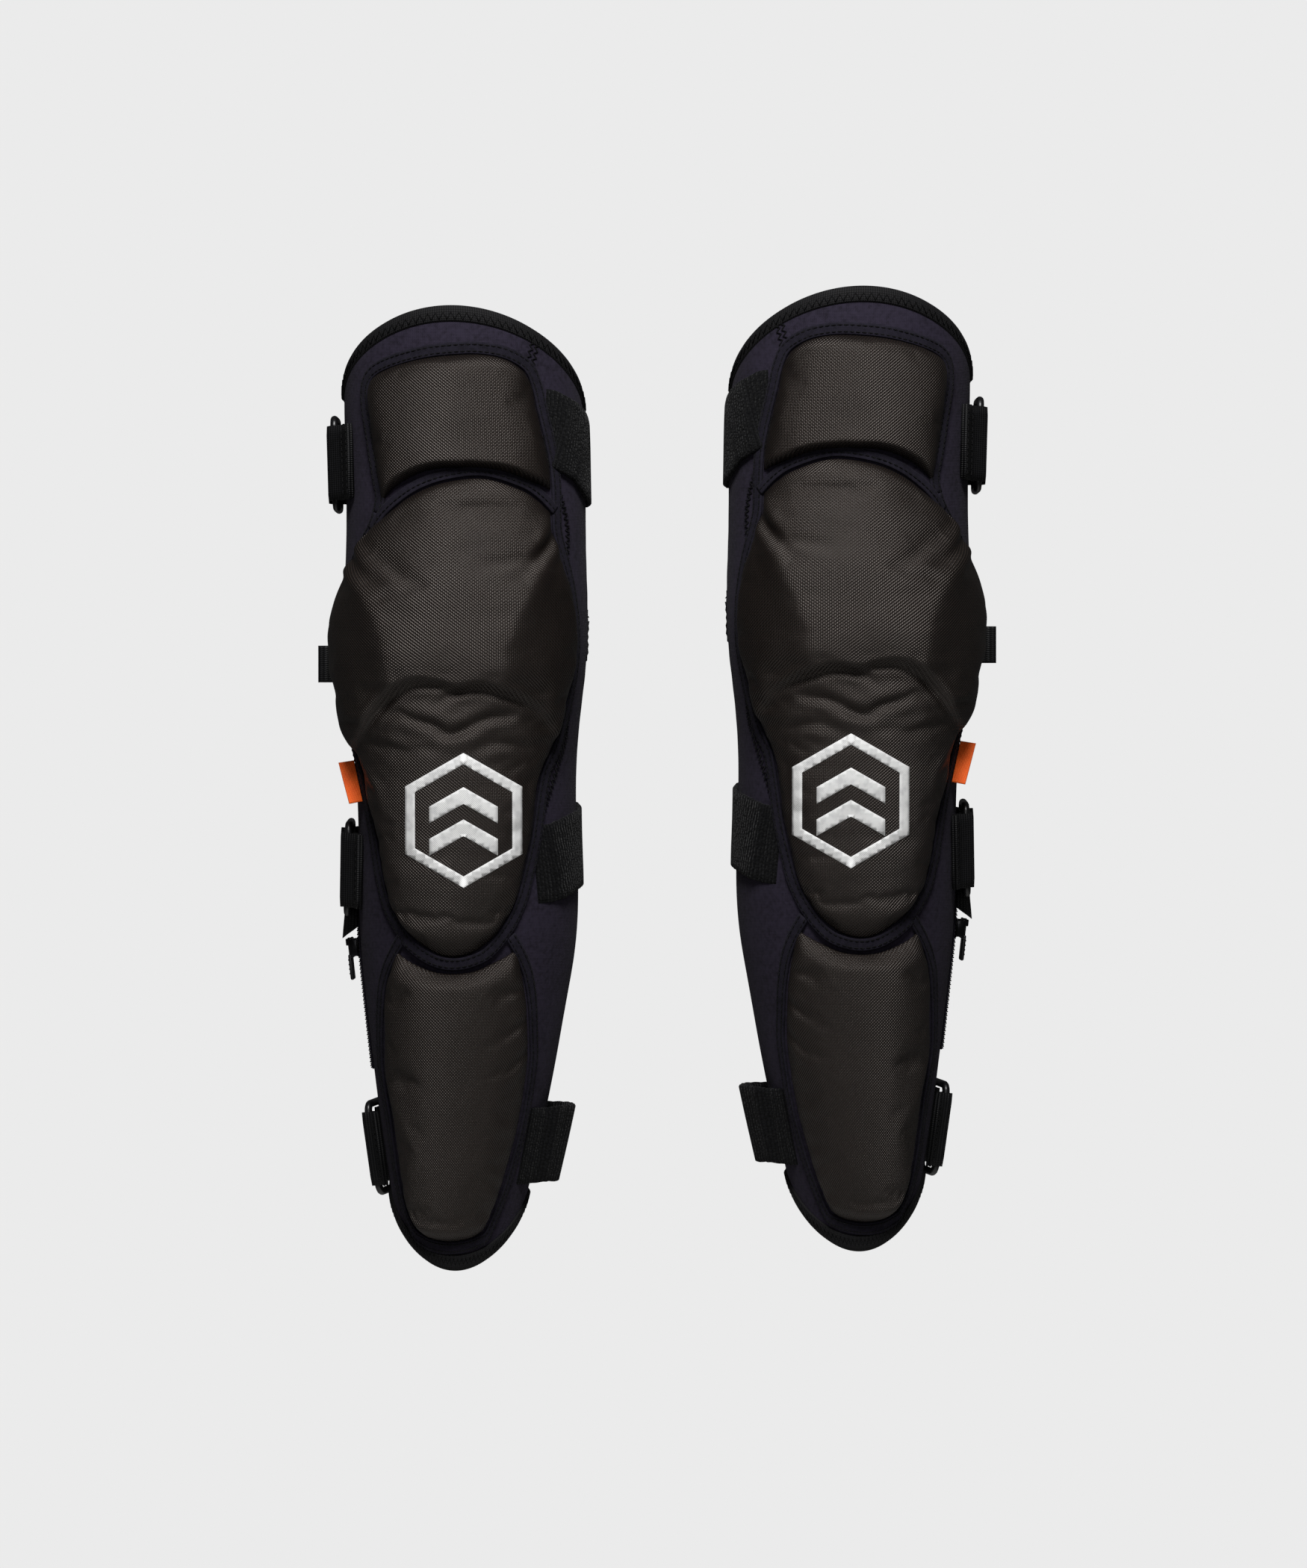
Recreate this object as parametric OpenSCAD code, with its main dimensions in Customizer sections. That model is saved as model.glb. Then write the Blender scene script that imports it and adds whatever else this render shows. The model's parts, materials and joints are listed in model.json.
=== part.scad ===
// A pair of long knee guards: a neoprene sleeve over thigh, knee and shin, with padded front panels,
// three elastic straps that loop through plastic rings, and a short zip on the outside of the calf.
// Each guard is described for one leg, with its outer side towards -X and its front towards -Y;
// the other guard is its mirror image. Heights are measured from the knee's own axis.

/* [Pair] */
// Distance between the centre lines of the two guards
guard_spacing = 204; // [180:1:260]
// How much higher the guard on the +X side sits
right_lift = 10; // [0:1:30]

/* [Sleeve] */
// Thickness of the neoprene
sleeve_t = 3; // [2:0.5:4]
// Height of the top edge at the front
top_front = 168; // [163:1:174]
// Height of the top edge at the sides
top_side = 124; // [118:1:130]
// Height of the top edge at the back
top_back = 120; // [114:1:124]
// How much lower the top edge is on the inner side than in the middle
top_tilt = 3; // [0:1:8]
// Depth of the bottom edge at the front
bottom_front = 328; // [322:1:332]
// Depth of the bottom edge at the sides
bottom_side = 294; // [288:1:298]
// Depth of the bottom edge at the back
bottom_back = 289; // [286:1:296]
// Height of the bound cuffs
cuff_h = 8; // [5:1:10]
// Half of the angle that is left free behind the knee
knee_relief = 43; // [43:1:45]

/* [Pads] */
// How far the thigh pad stands out from the sleeve
thigh_pad = 8; // [5:1:12]
// How far the knee cup stands out from the sleeve
knee_pad = 13; // [8:1:16]
// How far the tibia pad stands out from the sleeve
tibia_pad = 11; // [8:1:14]
// How far the shin pad stands out from the sleeve
shin_pad = 8; // [5:1:12]
// Thickness of the cover fabric with its backing
cover_t = 1.6; // [1:0.2:2]
// Width of the flat tape sewn round the pads
border_w = 6; // [4:0.5:7]

/* [Straps and rings] */
// Width of the elastic straps
strap_w = 40; // [30:1:40]
// Thickness of the elastic
strap_t = 2.2; // [1.6:0.2:2.4]
// Outer height of a ring
ring_h = 50; // [50:1:54]
// Distance between the two long bars of a ring
ring_pitch = 22; // [20:1:24]
// Radius of a ring's bars
bar_r = 2; // [1.8:0.1:2.2]
// Radial clearance between a bar and the band looped round it
bar_gap = 0.08; // [0.05:0.01:0.1]

/* [Zip] */
// Height of the zip's upper end
zip_top = -149; // [-152:1:-148]
// Height of the zip's lower end
zip_bottom = -224; // [-226:1:-220]
// Width of the row of teeth with its tapes
zip_w = 7; // [6:0.5:8]

/* [Hidden] */
// The leg inside the sleeve: height, centre in x and y, half width and half depth
leg_form = [
    [175, 0, 9, 57, 56], [143, 1, 7.5, 60.5, 57], [110, 2.5, 6, 62, 59], [60, 3.5, 3.5, 61.5, 60],
    [20, 3, 1, 60, 60], [-20, 2, 1, 58, 59], [-60, 3, 4, 56.5, 57], [-100, 4, 8, 56, 56],
    [-150, 4.6, 13, 57.5, 56], [-240, 1.5, 22, 44.5, 45.5], [-300, -1, 28, 33, 38], [-335, -2.5, 31.5, 27, 34],
];
// A pad's outline: its left and right edges as height and x, its top and its bottom as side and middle heights
thigh_outline = [
    [[71, -42.5], [126, -49], [133, -45]], [[71, 49], [126, 38.5], [138, 33]], [131, 143], [71, 84],
];
knee_outline = [
    [[-46, -54], [-10, -60], [5, -60], [40, -50], [57, -40]], [[-46, 52], [-3, 58], [15, 57], [34, 50], [62, 48]],
    [56, 74], [-46, -30],
];
tibia_outline = [
    [[-150, -32], [-130, -37], [-103, -41], [-88, -44], [-57, -51], [-48, -52]],
    [[-150, 28], [-136, 32], [-99, 38.5], [-63, 47], [-48, 50]], [-48.5, -32.5], [-140, -169],
];
shin_outline = [
    [[-300, -25], [-277, -31.5], [-252, -37.5], [-222, -40], [-191, -40], [-170, -34]],
    [[-300, 18], [-287, 24], [-259, 31], [-228, 36.5], [-197, 36], [-169, 31]], [-168, -184], [-290, -313],
];
// A strap's route: angle round the leg from the front, height of its middle and distance from the sleeve
thigh_route = [[52, 105, 0.8], [70, 97, 0.8], [90, 87, 0.8], [150, 85, 0.8], [251, 88, 0.8]];
calf_route = [[52, -117, 0.8], [90, -109, 0.8], [150, -101, 0.8], [210, -110, 0.8], [251, -120, 0.8]];
ankle_route = [
    [64, -264, 1], [78, -263, 8], [90, -263, 13], [108, -262, 13], [135, -262, 6], [165, -262, 1], [232, -264, 1],
];
// Each ring's height and angle round the leg, and the angles where its tab and its strap's tail end
thigh_ring_at = [88, -93, -66, -148];
calf_ring_at = [-120, -93, -70, -148];
ankle_ring_at = [-265, -109, -84, -166];

lay = 0.8;                       // gap between the sleeve and what lies on it
pad_lay = 1.4;                   // gap between the sleeve and the pads
seam = 0.3;                      // gap between neighbouring pieces
around = 30;                     // faces round the sleeve
ring_stand = 4.8;                // distance of a ring's middle plane from the sleeve
band_t = 1.6;                    // thickness of the webbing and of the elastic where it loops round a bar
loop_r = bar_r + bar_gap + band_t;
zip_at = -98;                    // angle of the zip round the leg
slider_l = 11;                   // length of the zip's slider
slider_w = zip_w + 3.4;
slider_t = 3.6;
pull_l = 20;                     // length of the zip's pull
pin_r = 0.9;                     // radius of the pin that holds the pull
black = "#17171a";
indigo = "#2c2a3c";
twill = "#35302f";
white_foam = "#d9d4c6";

PIECES = [
    "thigh_sleeve", "shin_sleeve", "knee_gusset", "top_cuff", "bottom_cuff",
    "thigh_foam", "thigh_cover", "thigh_border", "knee_insert", "knee_cover",
    "tibia_insert", "tibia_cover", "shin_foam", "shin_cover", "shin_borders",
    "thigh_strap", "calf_strap", "ankle_strap", "thigh_ring", "calf_ring", "ankle_ring",
    "thigh_ring_tab", "shin_ring_tabs", "thigh_strap_tail", "calf_strap_tail", "ankle_strap_tail",
    "zip_chain", "zip_slider", "zip_pull", "label",
];

// One measure of the leg at a height
function leg(z, i) = lookup(z, [for (s = leg_form) [s[0], s[i]]]);
// A point at a height, an angle round the leg from its front, and a distance from the sleeve's outer face
function skin(z, turn, h) = [
    leg(z, 1) + (leg(z, 3) + h) * sin(turn), leg(z, 2) - (leg(z, 4) + h) * cos(turn), z
];
// The angle round the leg at which the sleeve's front has this x
function turn_at(x, z) = asin(max(-0.97, min(0.97, (x - leg(z, 1)) / (leg(z, 3) + 2))));
function mix(a, b, t) = a + (b - a) * t;
function reversed(list) = [for (i = [len(list) - 1:-1:0]) list[i]];
function quad(a, b, c, d) = [[a, b, c], [a, c, d]];
// The two turns that lean an upright axis along d
function lean(d) = [-asin(d.y / norm(d)), atan2(d.x, d.z), 0];

// A solid through sections of equal length, in each of which the second half runs back beside the first
module loft(sections, closed = false) {
    n = len(sections);
    m = len(sections[0]);
    walls = [
        for (i = [0:closed ? n - 1 : n - 2], j = [0:m - 1])
            let (k = (i + 1) % n, l = (j + 1) % m)
                each quad(i * m + j, k * m + j, k * m + l, i * m + l)
    ];
    ends = closed ? [] : [
        for (j = [0:m / 2 - 2], e = [0, n - 1])
            let (q = [j, j + 1, m - 2 - j, m - 1 - j] + e * m * [1, 1, 1, 1])
                each e == 0 ? quad(q[0], q[1], q[2], q[3]) : quad(q[3], q[2], q[1], q[0])
    ];
    polyhedron([for (s = sections) each s], concat(walls, ends));
}

// A wall round the leg between two heights that depend on the angle
module wall(turns, low, high, rows, h_in, h_out, closed = false) {
    loft([
        for (t = turns)
            let (zs = [for (k = [0:rows]) mix(low(t), high(t), k / rows)])
                concat([for (z = zs) skin(z, t, h_out)], [for (z = reversed(zs)) skin(z, t, h_in)])
    ], closed);
}

full_turn = [for (i = [0:around - 1]) i * 360 / around];
top_edge = function (t)
    top_side + (cos(t) > 0 ? top_front - top_side : top_side - top_back) * cos(t) - top_tilt * sin(t);
bottom_edge = function (t) -bottom_side + (cos(t) > 0 ? bottom_side - bottom_front : bottom_back - bottom_side) * cos(t);
// The cut behind the knee rises with the distance behind the knee's axis
function relief(t, z) = max(seam, (leg(z, 2) - (leg(z, 4) + 1) * cos(t)) * tan(knee_relief) + seam);
thigh_end = function (t) relief(t, 55);
shin_end = function (t) -relief(t, -55);

module thigh_sleeve() {
    color(indigo) wall(full_turn, thigh_end, function (t) top_edge(t) - cuff_h, 6, -sleeve_t, 0, true);
}
module shin_sleeve() {
    color(indigo) wall(full_turn, function (t) bottom_edge(t) + cuff_h, shin_end, 9, -sleeve_t, 0, true);
}
module knee_gusset() {
    turns = [for (i = [0:14]) 97 + i * 166 / 14];
    color(black) wall(turns, function (t) shin_end(t) + 1.5, function (t) thigh_end(t) - 1.5, 6, -sleeve_t, -0.5);
}
module top_cuff() {
    color(black) wall(full_turn, function (t) top_edge(t) - cuff_h + seam, top_edge, 1, -sleeve_t - 0.6, 0.6, true);
}
module bottom_cuff() {
    color(black)
        wall(full_turn, bottom_edge, function (t) bottom_edge(t) + cuff_h - seam, 1, -sleeve_t - 0.6, 0.6, true);
}

// Places on a pad go from 0 to 1 across it and from 0 to 1 up it
function pad_z(pad, u, v) =
    let (q = 1 - pow(2 * u - 1, 2)) mix(mix(pad[3][0], pad[3][1], q), mix(pad[2][0], pad[2][1], q), v);
function pad_point(pad, u, v, h) =
    let (z = pad_z(pad, u, v), x = mix(lookup(z, pad[0]), lookup(z, pad[1]), u)) skin(z, turn_at(x, z), h);
// The pad's rise over its edges, where ends is how much of it is lost at the bottom and at the top
function crown(u, v, ends) =
    (1 - pow(abs(2 * u - 1), 3)) * (1 - (v < 0.5 ? ends[0] : ends[1]) * pow(abs(2 * v - 1), 3));
function steps(n, inset) = [for (i = [0:n]) mix(inset, 1 - inset, i / n)];

// The fabric that lies over a pad
module cover(pad, rise, ends, across, up) {
    loft([
        for (u = steps(across, 0))
            concat(
                [for (v = steps(up, 0)) pad_point(pad, u, v, pad_lay + cover_t + rise * crown(u, v, ends))],
                [for (v = reversed(steps(up, 0))) pad_point(pad, u, v, pad_lay + rise * crown(u, v, ends))])
    ]);
}
// The foam or the moulded insert under it
module insert(pad, rise, ends, across, up) {
    loft([
        for (u = steps(across, 0.12))
            concat(
                [for (v = steps(up, 0.1)) pad_point(pad, u, v, pad_lay - 0.6 + rise * crown(u, v, ends))],
                [for (v = reversed(steps(up, 0.1))) pad_point(pad, u, v, pad_lay - 0.4)])
    ]);
}
// The flat tape round a pad, from d_in to d_out outside its outline
module border(pad, d_in, d_out, across, up) {
    wide = lookup(pad_z(pad, 0.5, 0.5), pad[1]) - lookup(pad_z(pad, 0.5, 0.5), pad[0]);
    high = pad_z(pad, 0.5, 1) - pad_z(pad, 0.5, 0);
    path = concat(
        [for (i = [0:across - 1]) [i / across, 0]], [for (i = [0:up - 1]) [1, i / up]],
        [for (i = [0:across - 1]) [1 - i / across, 1]], [for (i = [0:up - 1]) [0, 1 - i / up]]);
    loft([
        for (p = path)
            [for (dh = [[d_in, lay], [d_in, lay + 1.2], [d_out, lay + 1.2], [d_out, lay]])
                pad_point(pad, 0.5 + (p.x - 0.5) * (1 + 2 * dh[0] / wide), 0.5 + (p.y - 0.5) * (1 + 2 * dh[0] / high),
                    dh[1])]
    ], true);
}

thigh_ends = [0.9, 0.9];
knee_ends = [0.35, 0.8];
tibia_ends = [0.85, 0.3];
shin_ends = [0.9, 0.9];
module thigh_foam() { color(white_foam) insert(thigh_outline, thigh_pad, thigh_ends, 8, 5); }
module thigh_cover() { color(twill) cover(thigh_outline, thigh_pad, thigh_ends, 10, 6); }
module thigh_border() { color(indigo) border(thigh_outline, 0.6, border_w, 10, 5); }
module knee_insert() { color(white_foam) insert(knee_outline, knee_pad, knee_ends, 10, 7); }
module knee_cover() { color(twill) cover(knee_outline, knee_pad, knee_ends, 14, 8); }
module tibia_insert() { color(white_foam) insert(tibia_outline, tibia_pad, tibia_ends, 8, 7); }
module tibia_cover() { color(twill) cover(tibia_outline, tibia_pad, tibia_ends, 12, 8); }
module shin_foam() { color(white_foam) insert(shin_outline, shin_pad, shin_ends, 8, 7); }
module shin_cover() { color(twill) cover(shin_outline, shin_pad, shin_ends, 10, 8); }
module shin_borders() {
    color(indigo) {
        tibia_border();
        border(shin_outline, 0.6, border_w, 10, 8);
    }
}
// The tape down both sides of the tibia pad and round its tip
module tibia_border() {
    path = concat([for (i = [0:6]) [0, 0.96 - i * 0.16]], [for (i = [1:9]) [i / 10, 0]], [for (i = [0:6]) [1, i * 0.16]]);
    wide = 84;
    high = 130;
    loft([
        for (p = path)
            [for (dh = [[0.6, lay], [0.6, lay + 1.2], [border_w, lay + 1.2], [border_w, lay]])
                pad_point(tibia_outline, 0.5 + (p.x - 0.5) * (1 + 2 * dh[0] / wide),
                    p.y - (1 - p.y) * dh[0] / high, dh[1])]
    ]);
}

// An elastic strap along its route round the leg
module strap(route) {
    start = route[0][0];
    end = route[len(route) - 1][0];
    n = ceil((end - start) / 10);
    heights = [for (r = route) [r[0], r[1]]];
    gaps = [for (r = route) [r[0], r[2]]];
    offsets = [for (k = [0:3]) mix(-strap_w / 2, strap_w / 2, k / 3)];
    color(black) loft([
        for (i = [0:n])
            let (t = mix(start, end, i / n), z = lookup(t, heights), h = lookup(t, gaps))
                concat([for (o = offsets) skin(z + o, t, h + strap_t)], [for (o = reversed(offsets)) skin(z + o, t, h)])
    ]);
}
module thigh_strap() { strap(thigh_route); }
module calf_strap() { strap(calf_route); }
module ankle_strap() { strap(ankle_route); }

// A frame in a ring's middle: z along the sleeve, x towards the front, and -y away from the leg
module at_ring(at) {
    translate(skin(at[0], at[1], ring_stand))
        rotate(lean(skin(at[0] + strap_w / 2, at[1], 0) - skin(at[0] - strap_w / 2, at[1], 0)))
            rotate([0, 0, at[1]])
                children();
}
// A place at an angle and a distance from the sleeve, in that frame
function beside(at, turn, h) =
    let (d = skin(at[0], turn, h) - skin(at[0], at[1], ring_stand))
        [d.x * cos(at[1]) + d.y * sin(at[1]), d.y * cos(at[1]) - d.x * sin(at[1])];
// The angle round the leg of a place that far from the ring's middle
function beside_turn(at, x) = at[1] + asin(x / (leg(at[0], 3) + ring_stand));

module ring(at) {
    side = ring_h / 2 - bar_r;
    color("#26262a") at_ring(at) {
        for (x = [-ring_pitch / 2, ring_pitch / 2])
            translate([x, 0, -side]) cylinder(r = bar_r, h = 2 * side, $fn = 32);
        for (z = [-side, side]) {
            translate([-ring_pitch / 2, 0, z]) rotate([0, 90, 0]) cylinder(r = bar_r, h = ring_pitch, $fn = 32);
            for (x = [-ring_pitch / 2, ring_pitch / 2])
                translate([x, 0, z]) sphere(r = bar_r, $fn = 32);
        }
    }
}
module thigh_ring() { ring(thigh_ring_at); }
module calf_ring() { ring(calf_ring_at); }
module ankle_ring() { ring(ankle_ring_at); }

// A band folded round one of a ring's bars, which leaves the bar on one side and then lies on the leg.
// bar_face and loop_face are the distances from the sleeve of the face towards the bar and of the other one.
module looped_band(at, bar_x, leave, turns, bar_face, loop_face) {
    bar = [bar_x, 0];
    away = [sin(leave), cos(leave)];
    at_ring(at) linear_extrude(strap_w, center = true) difference() {
        union() {
            translate(bar) circle(r = loop_r, $fn = 40);
            polygon(concat(
                [bar + (bar_r + 0.4) * away], [for (t = turns) beside(at, t, bar_face)],
                [for (t = reversed(turns)) beside(at, t, loop_face)], [bar + (loop_r - 0.2) * away]));
        }
        translate(bar) circle(r = bar_r + bar_gap, $fn = 40);
    }
}
module ring_tab(at) {
    near = beside_turn(at, ring_pitch / 2 + 6);
    color(black) looped_band(at, ring_pitch / 2, 20, [for (i = [0:3]) mix(near, at[2], i / 3)], lay + 1.6, lay);
}
module thigh_ring_tab() { ring_tab(thigh_ring_at); }
module shin_ring_tabs() {
    ring_tab(calf_ring_at);
    ring_tab(ankle_ring_at);
}
module strap_tail(at) {
    near = beside_turn(at, -ring_pitch / 2 - 14);
    low = lay + strap_t + 1;
    color(black)
        looped_band(at, -ring_pitch / 2, 210, [for (i = [0:5]) mix(near, at[3], i / 5)], low, low + band_t);
}
module thigh_strap_tail() { strap_tail(thigh_ring_at); }
module calf_strap_tail() { strap_tail(calf_ring_at); }
module ankle_strap_tail() { strap_tail(ankle_ring_at); }

// A frame on the zip at a height: z up along the row of teeth, -y away from the leg
module at_zip(z) {
    translate(skin(z, zip_at, 0))
        rotate(lean(skin(zip_top, zip_at, 0) - skin(zip_bottom, zip_at, 0)))
            rotate([0, 0, zip_at])
                children();
}
zip_h = 1.8;
zip_length = norm(skin(zip_top, zip_at, 0) - skin(zip_bottom, zip_at, 0));
module zip_chain() {
    color(black) at_zip(zip_bottom)
        translate([-zip_w / 2, -zip_h, 0]) cube([zip_w, zip_h - 0.7, zip_length]);
}
// The slider bridges the row of teeth, with two ears on it for the pull's pin
module zip_slider() {
    channel = zip_w + 0.8;
    color("#303034") at_zip(zip_top - slider_l) difference() {
        union() {
            translate([-slider_w / 2, -zip_h - slider_t + 1, 0]) cube([slider_w, slider_t, slider_l]);
            for (x = [-3, 3])
                translate([x, -zip_h - slider_t + 1, 2]) rotate([0, 90, 0]) hull() {
                    cylinder(r = 2, h = 1.2, center = true, $fn = 24);
                    translate([0, -1.6, 0]) cylinder(r = 2, h = 1.2, center = true, $fn = 24);
                }
        }
        translate([-channel / 2, -zip_h - 0.4, -1]) cube([channel, zip_h + 5, slider_l + 2]);
        translate([-5, -zip_h - slider_t - 0.8, 2]) rotate([0, 90, 0])
            cylinder(r = pin_r + 0.05, h = 10, $fn = 24);
    }
}
// The pull hangs from its pin
module zip_pull() {
    color("#101012") at_zip(zip_top - slider_l) translate([0, -zip_h - slider_t - 0.8, 2]) {
        rotate([0, 90, 0]) cylinder(r = pin_r, h = 7.4, center = true, $fn = 24);
        difference() {
            translate([-2, -pin_r, -pull_l]) cube([4, 2 * pin_r, pull_l]);
            translate([0, -2, -pull_l + 4]) rotate([-90, 0, 0]) cylinder(r = 1.1, h = 4, $fn = 24);
        }
    }
}

// The folded label stands out from the seam beside the tibia pad
module label() {
    color("#e8761f")
        translate([-62.8, -12, -67]) rotate([0, -12, 0]) translate([0, 0, -20]) cube([8, 0.9, 20]);
}

module place(side) {
    if (side == "left")
        translate([-guard_spacing / 2, 0, -right_lift / 2]) children();
    else
        translate([guard_spacing / 2, 0, right_lift / 2]) mirror([1, 0, 0]) children();
}
module show(side, name) {
    place(side) children();
}

for (side = ["left", "right"]) {
    show(side, "thigh_sleeve") thigh_sleeve();
    show(side, "shin_sleeve") shin_sleeve();
    show(side, "knee_gusset") knee_gusset();
    show(side, "top_cuff") top_cuff();
    show(side, "bottom_cuff") bottom_cuff();
    show(side, "thigh_foam") thigh_foam();
    show(side, "thigh_cover") thigh_cover();
    show(side, "thigh_border") thigh_border();
    show(side, "knee_insert") knee_insert();
    show(side, "knee_cover") knee_cover();
    show(side, "tibia_insert") tibia_insert();
    show(side, "tibia_cover") tibia_cover();
    show(side, "shin_foam") shin_foam();
    show(side, "shin_cover") shin_cover();
    show(side, "shin_borders") shin_borders();
    show(side, "thigh_strap") thigh_strap();
    show(side, "calf_strap") calf_strap();
    show(side, "ankle_strap") ankle_strap();
    show(side, "thigh_ring") thigh_ring();
    show(side, "calf_ring") calf_ring();
    show(side, "ankle_ring") ankle_ring();
    show(side, "thigh_ring_tab") thigh_ring_tab();
    show(side, "shin_ring_tabs") shin_ring_tabs();
    show(side, "thigh_strap_tail") thigh_strap_tail();
    show(side, "calf_strap_tail") calf_strap_tail();
    show(side, "ankle_strap_tail") ankle_strap_tail();
    show(side, "zip_chain") zip_chain();
    show(side, "zip_slider") zip_slider();
    show(side, "zip_pull") zip_pull();
    show(side, "label") label();
}
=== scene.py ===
import json
import math
import bmesh
import bpy
from mathutils import Matrix, Vector, noise
from mathutils.bvhtree import BVHTree


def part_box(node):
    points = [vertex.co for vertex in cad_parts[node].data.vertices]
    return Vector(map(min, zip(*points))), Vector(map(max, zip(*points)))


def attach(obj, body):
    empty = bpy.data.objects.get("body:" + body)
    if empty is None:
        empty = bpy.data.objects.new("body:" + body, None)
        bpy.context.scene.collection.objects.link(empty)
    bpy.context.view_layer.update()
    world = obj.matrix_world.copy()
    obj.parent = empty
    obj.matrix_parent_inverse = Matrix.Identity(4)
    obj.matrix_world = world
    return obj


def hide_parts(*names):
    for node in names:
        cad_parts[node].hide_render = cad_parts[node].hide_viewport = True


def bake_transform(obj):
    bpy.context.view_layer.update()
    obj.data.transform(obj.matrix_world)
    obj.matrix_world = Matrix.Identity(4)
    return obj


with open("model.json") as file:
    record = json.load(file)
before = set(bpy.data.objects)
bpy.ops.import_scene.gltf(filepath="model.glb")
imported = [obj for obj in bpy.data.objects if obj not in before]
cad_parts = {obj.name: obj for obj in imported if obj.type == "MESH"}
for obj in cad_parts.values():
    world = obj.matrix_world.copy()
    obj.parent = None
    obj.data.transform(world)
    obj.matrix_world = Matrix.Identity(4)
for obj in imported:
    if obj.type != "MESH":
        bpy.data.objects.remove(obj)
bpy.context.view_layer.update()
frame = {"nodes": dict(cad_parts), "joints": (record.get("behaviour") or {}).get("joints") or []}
scene = bpy.context.scene
joints = {j["name"]: j for j in frame["joints"]}
print("frame loaded")

# Everything is shaped once, in millimetres, for the guard whose outer side is towards -X; x is measured from
# the guard's middle line, z from the knee's axis. The other guard is its mirror image.
guard = {
    "kneeAside": 2.5,
    "bendReach": 66,  # a reach above and below the knee's axis
    "around": 30,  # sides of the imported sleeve
    "swell": 4.5,
    "swellAt": -8,
    "swellReach": 44,
    "round": 58,  # the radius at which distances round the leg are measured
    # z, middle x and y, half width and half depth above the sleeve's low back edge
    "crown": [(108, 2.4, 6.1, 62.0, 59.1), (143, 1.0, 7.5, 60.5, 57.0), (184, -0.2, 9.3, 56.0, 55.8)],
}


def rowMatrix(side):
    knee = Vector(joints[side + "_knee_flex"]["pos_m"])
    handed = 1 if side == "left" else -1
    middle = knee - Vector((handed * guard["kneeAside"] / 1000, 0, 0))
    return Matrix.Translation(middle) @ Matrix.Diagonal((handed / 1000, 1 / 1000, 1 / 1000, 1))


toRow = {"left": rowMatrix("left"), "right": rowMatrix("right")}
toGuard = toRow["left"].inverted()


def mix(a, b, t):
    return a + (b - a) * t


def ease(t):
    t = max(0.0, min(1.0, t))
    return t * t * (3 - 2 * t)


def hump(x, middle, reach):
    return math.exp(-((x - middle) / reach) ** 2)


# ---- the leg's form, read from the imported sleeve
def readSections():
    edges = []
    for node in ("left_thigh_sleeve", "left_shin_sleeve", "left_knee_gusset"):
        mesh = frame["nodes"][node].data
        spots = [toGuard @ v.co for v in mesh.vertices]
        edges += [(spots[e.vertices[0]], spots[e.vertices[1]]) for e in mesh.edges]
    sections = []
    for z in range(-276, 104, 8):
        cut = [a.lerp(b, (z - a.z) / (b.z - a.z)) for a, b in edges if (a.z - z) * (b.z - z) < 0]
        xs, ys = [p.x for p in cut], [p.y for p in cut]
        wide = (max(xs) - min(xs)) / 2 / math.cos(math.pi / guard["around"])
        sections.append((z, (max(xs) + min(xs)) / 2, (max(ys) + min(ys)) / 2, wide, (max(ys) - min(ys)) / 2))
    for z in range(108, 188, 8):
        (z0, *low), (z1, *high) = next(pair for pair in zip(guard["crown"], guard["crown"][1:])
                                       if z <= pair[1][0])
        sections.append((z, *[mix(a, b, (z - z0) / (z1 - z0)) for a, b in zip(low, high)]))
    return sections


def sectionAt(sections, z):
    i = max(0, min(len(sections) - 2, int((z - sections[0][0]) // 8)))
    a, b = sections[i], sections[i + 1]
    t = (z - a[0]) / (b[0] - a[0])
    return [mix(a[k], b[k], t) for k in range(1, 5)]


def smoothTable(sections, low=-350, high=190):
    table = []
    for z in range(low, high + 1, 2):
        near = [sectionAt(sections, z + d) for d in (-12, -6, 0, 6, 12)]
        row = [sum(n[k] for n in near) / 5 for k in range(4)]
        swell = guard["swell"] * hump(z, guard["swellAt"], guard["swellReach"])
        row[2] += swell
        row[3] += swell * 0.3
        table.append(row)
    return low, table


tableLow, legTable = smoothTable(readSections())


def leg(z):
    f = (z - tableLow) / 2
    i = max(0, min(len(legTable) - 2, int(f)))
    a, b = legTable[i], legTable[i + 1]
    t = f - i
    return (a[0] + (b[0] - a[0]) * t, a[1] + (b[1] - a[1]) * t,
            a[2] + (b[2] - a[2]) * t, a[3] + (b[3] - a[3]) * t)


def skin(z, turn, h=0.0):
    cx, cy, a, b = leg(z)
    t = math.radians(turn)
    return Vector((cx + (a + h) * math.sin(t), cy - (b + h) * math.cos(t), z))


def turnAt(x, z, h=3.0):
    cx, cy, a, b = leg(z)
    return math.degrees(math.asin(max(-0.985, min(0.985, (x - cx) / (a + h)))))


def turnOf(p):
    cx, cy, a, b = leg(p.z)
    return math.degrees(math.atan2((p.x - cx) / a, -(p.y - cy) / b))


def edgeHeights(node, lowest):
    found = {}
    for v in frame["nodes"][node].data.vertices:
        p = toGuard @ v.co
        key = round(turnOf(p) / 12) * 12
        if key not in found or (p.z < found[key]) == lowest:
            found[key] = p.z
    inner, outer = (found[84] + found[96]) / 2, (found[-84] + found[-96]) / 2
    return found[0], (inner + outer) / 2, found.get(180, found.get(-180)), (outer - inner) / 2


topEdgeHeights = edgeHeights("left_top_cuff", False)
bottomEdgeHeights = edgeHeights("left_bottom_cuff", True)


def edgeAt(heights, turn):
    front, flank, back, tilt = heights
    c, s = math.cos(math.radians(turn)), math.sin(math.radians(turn))
    return flank + (front - flank if c > 0 else flank - back) * c - tilt * s


print("leg form read:", [round(x) for x in topEdgeHeights], [round(x) for x in bottomEdgeHeights])


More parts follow.
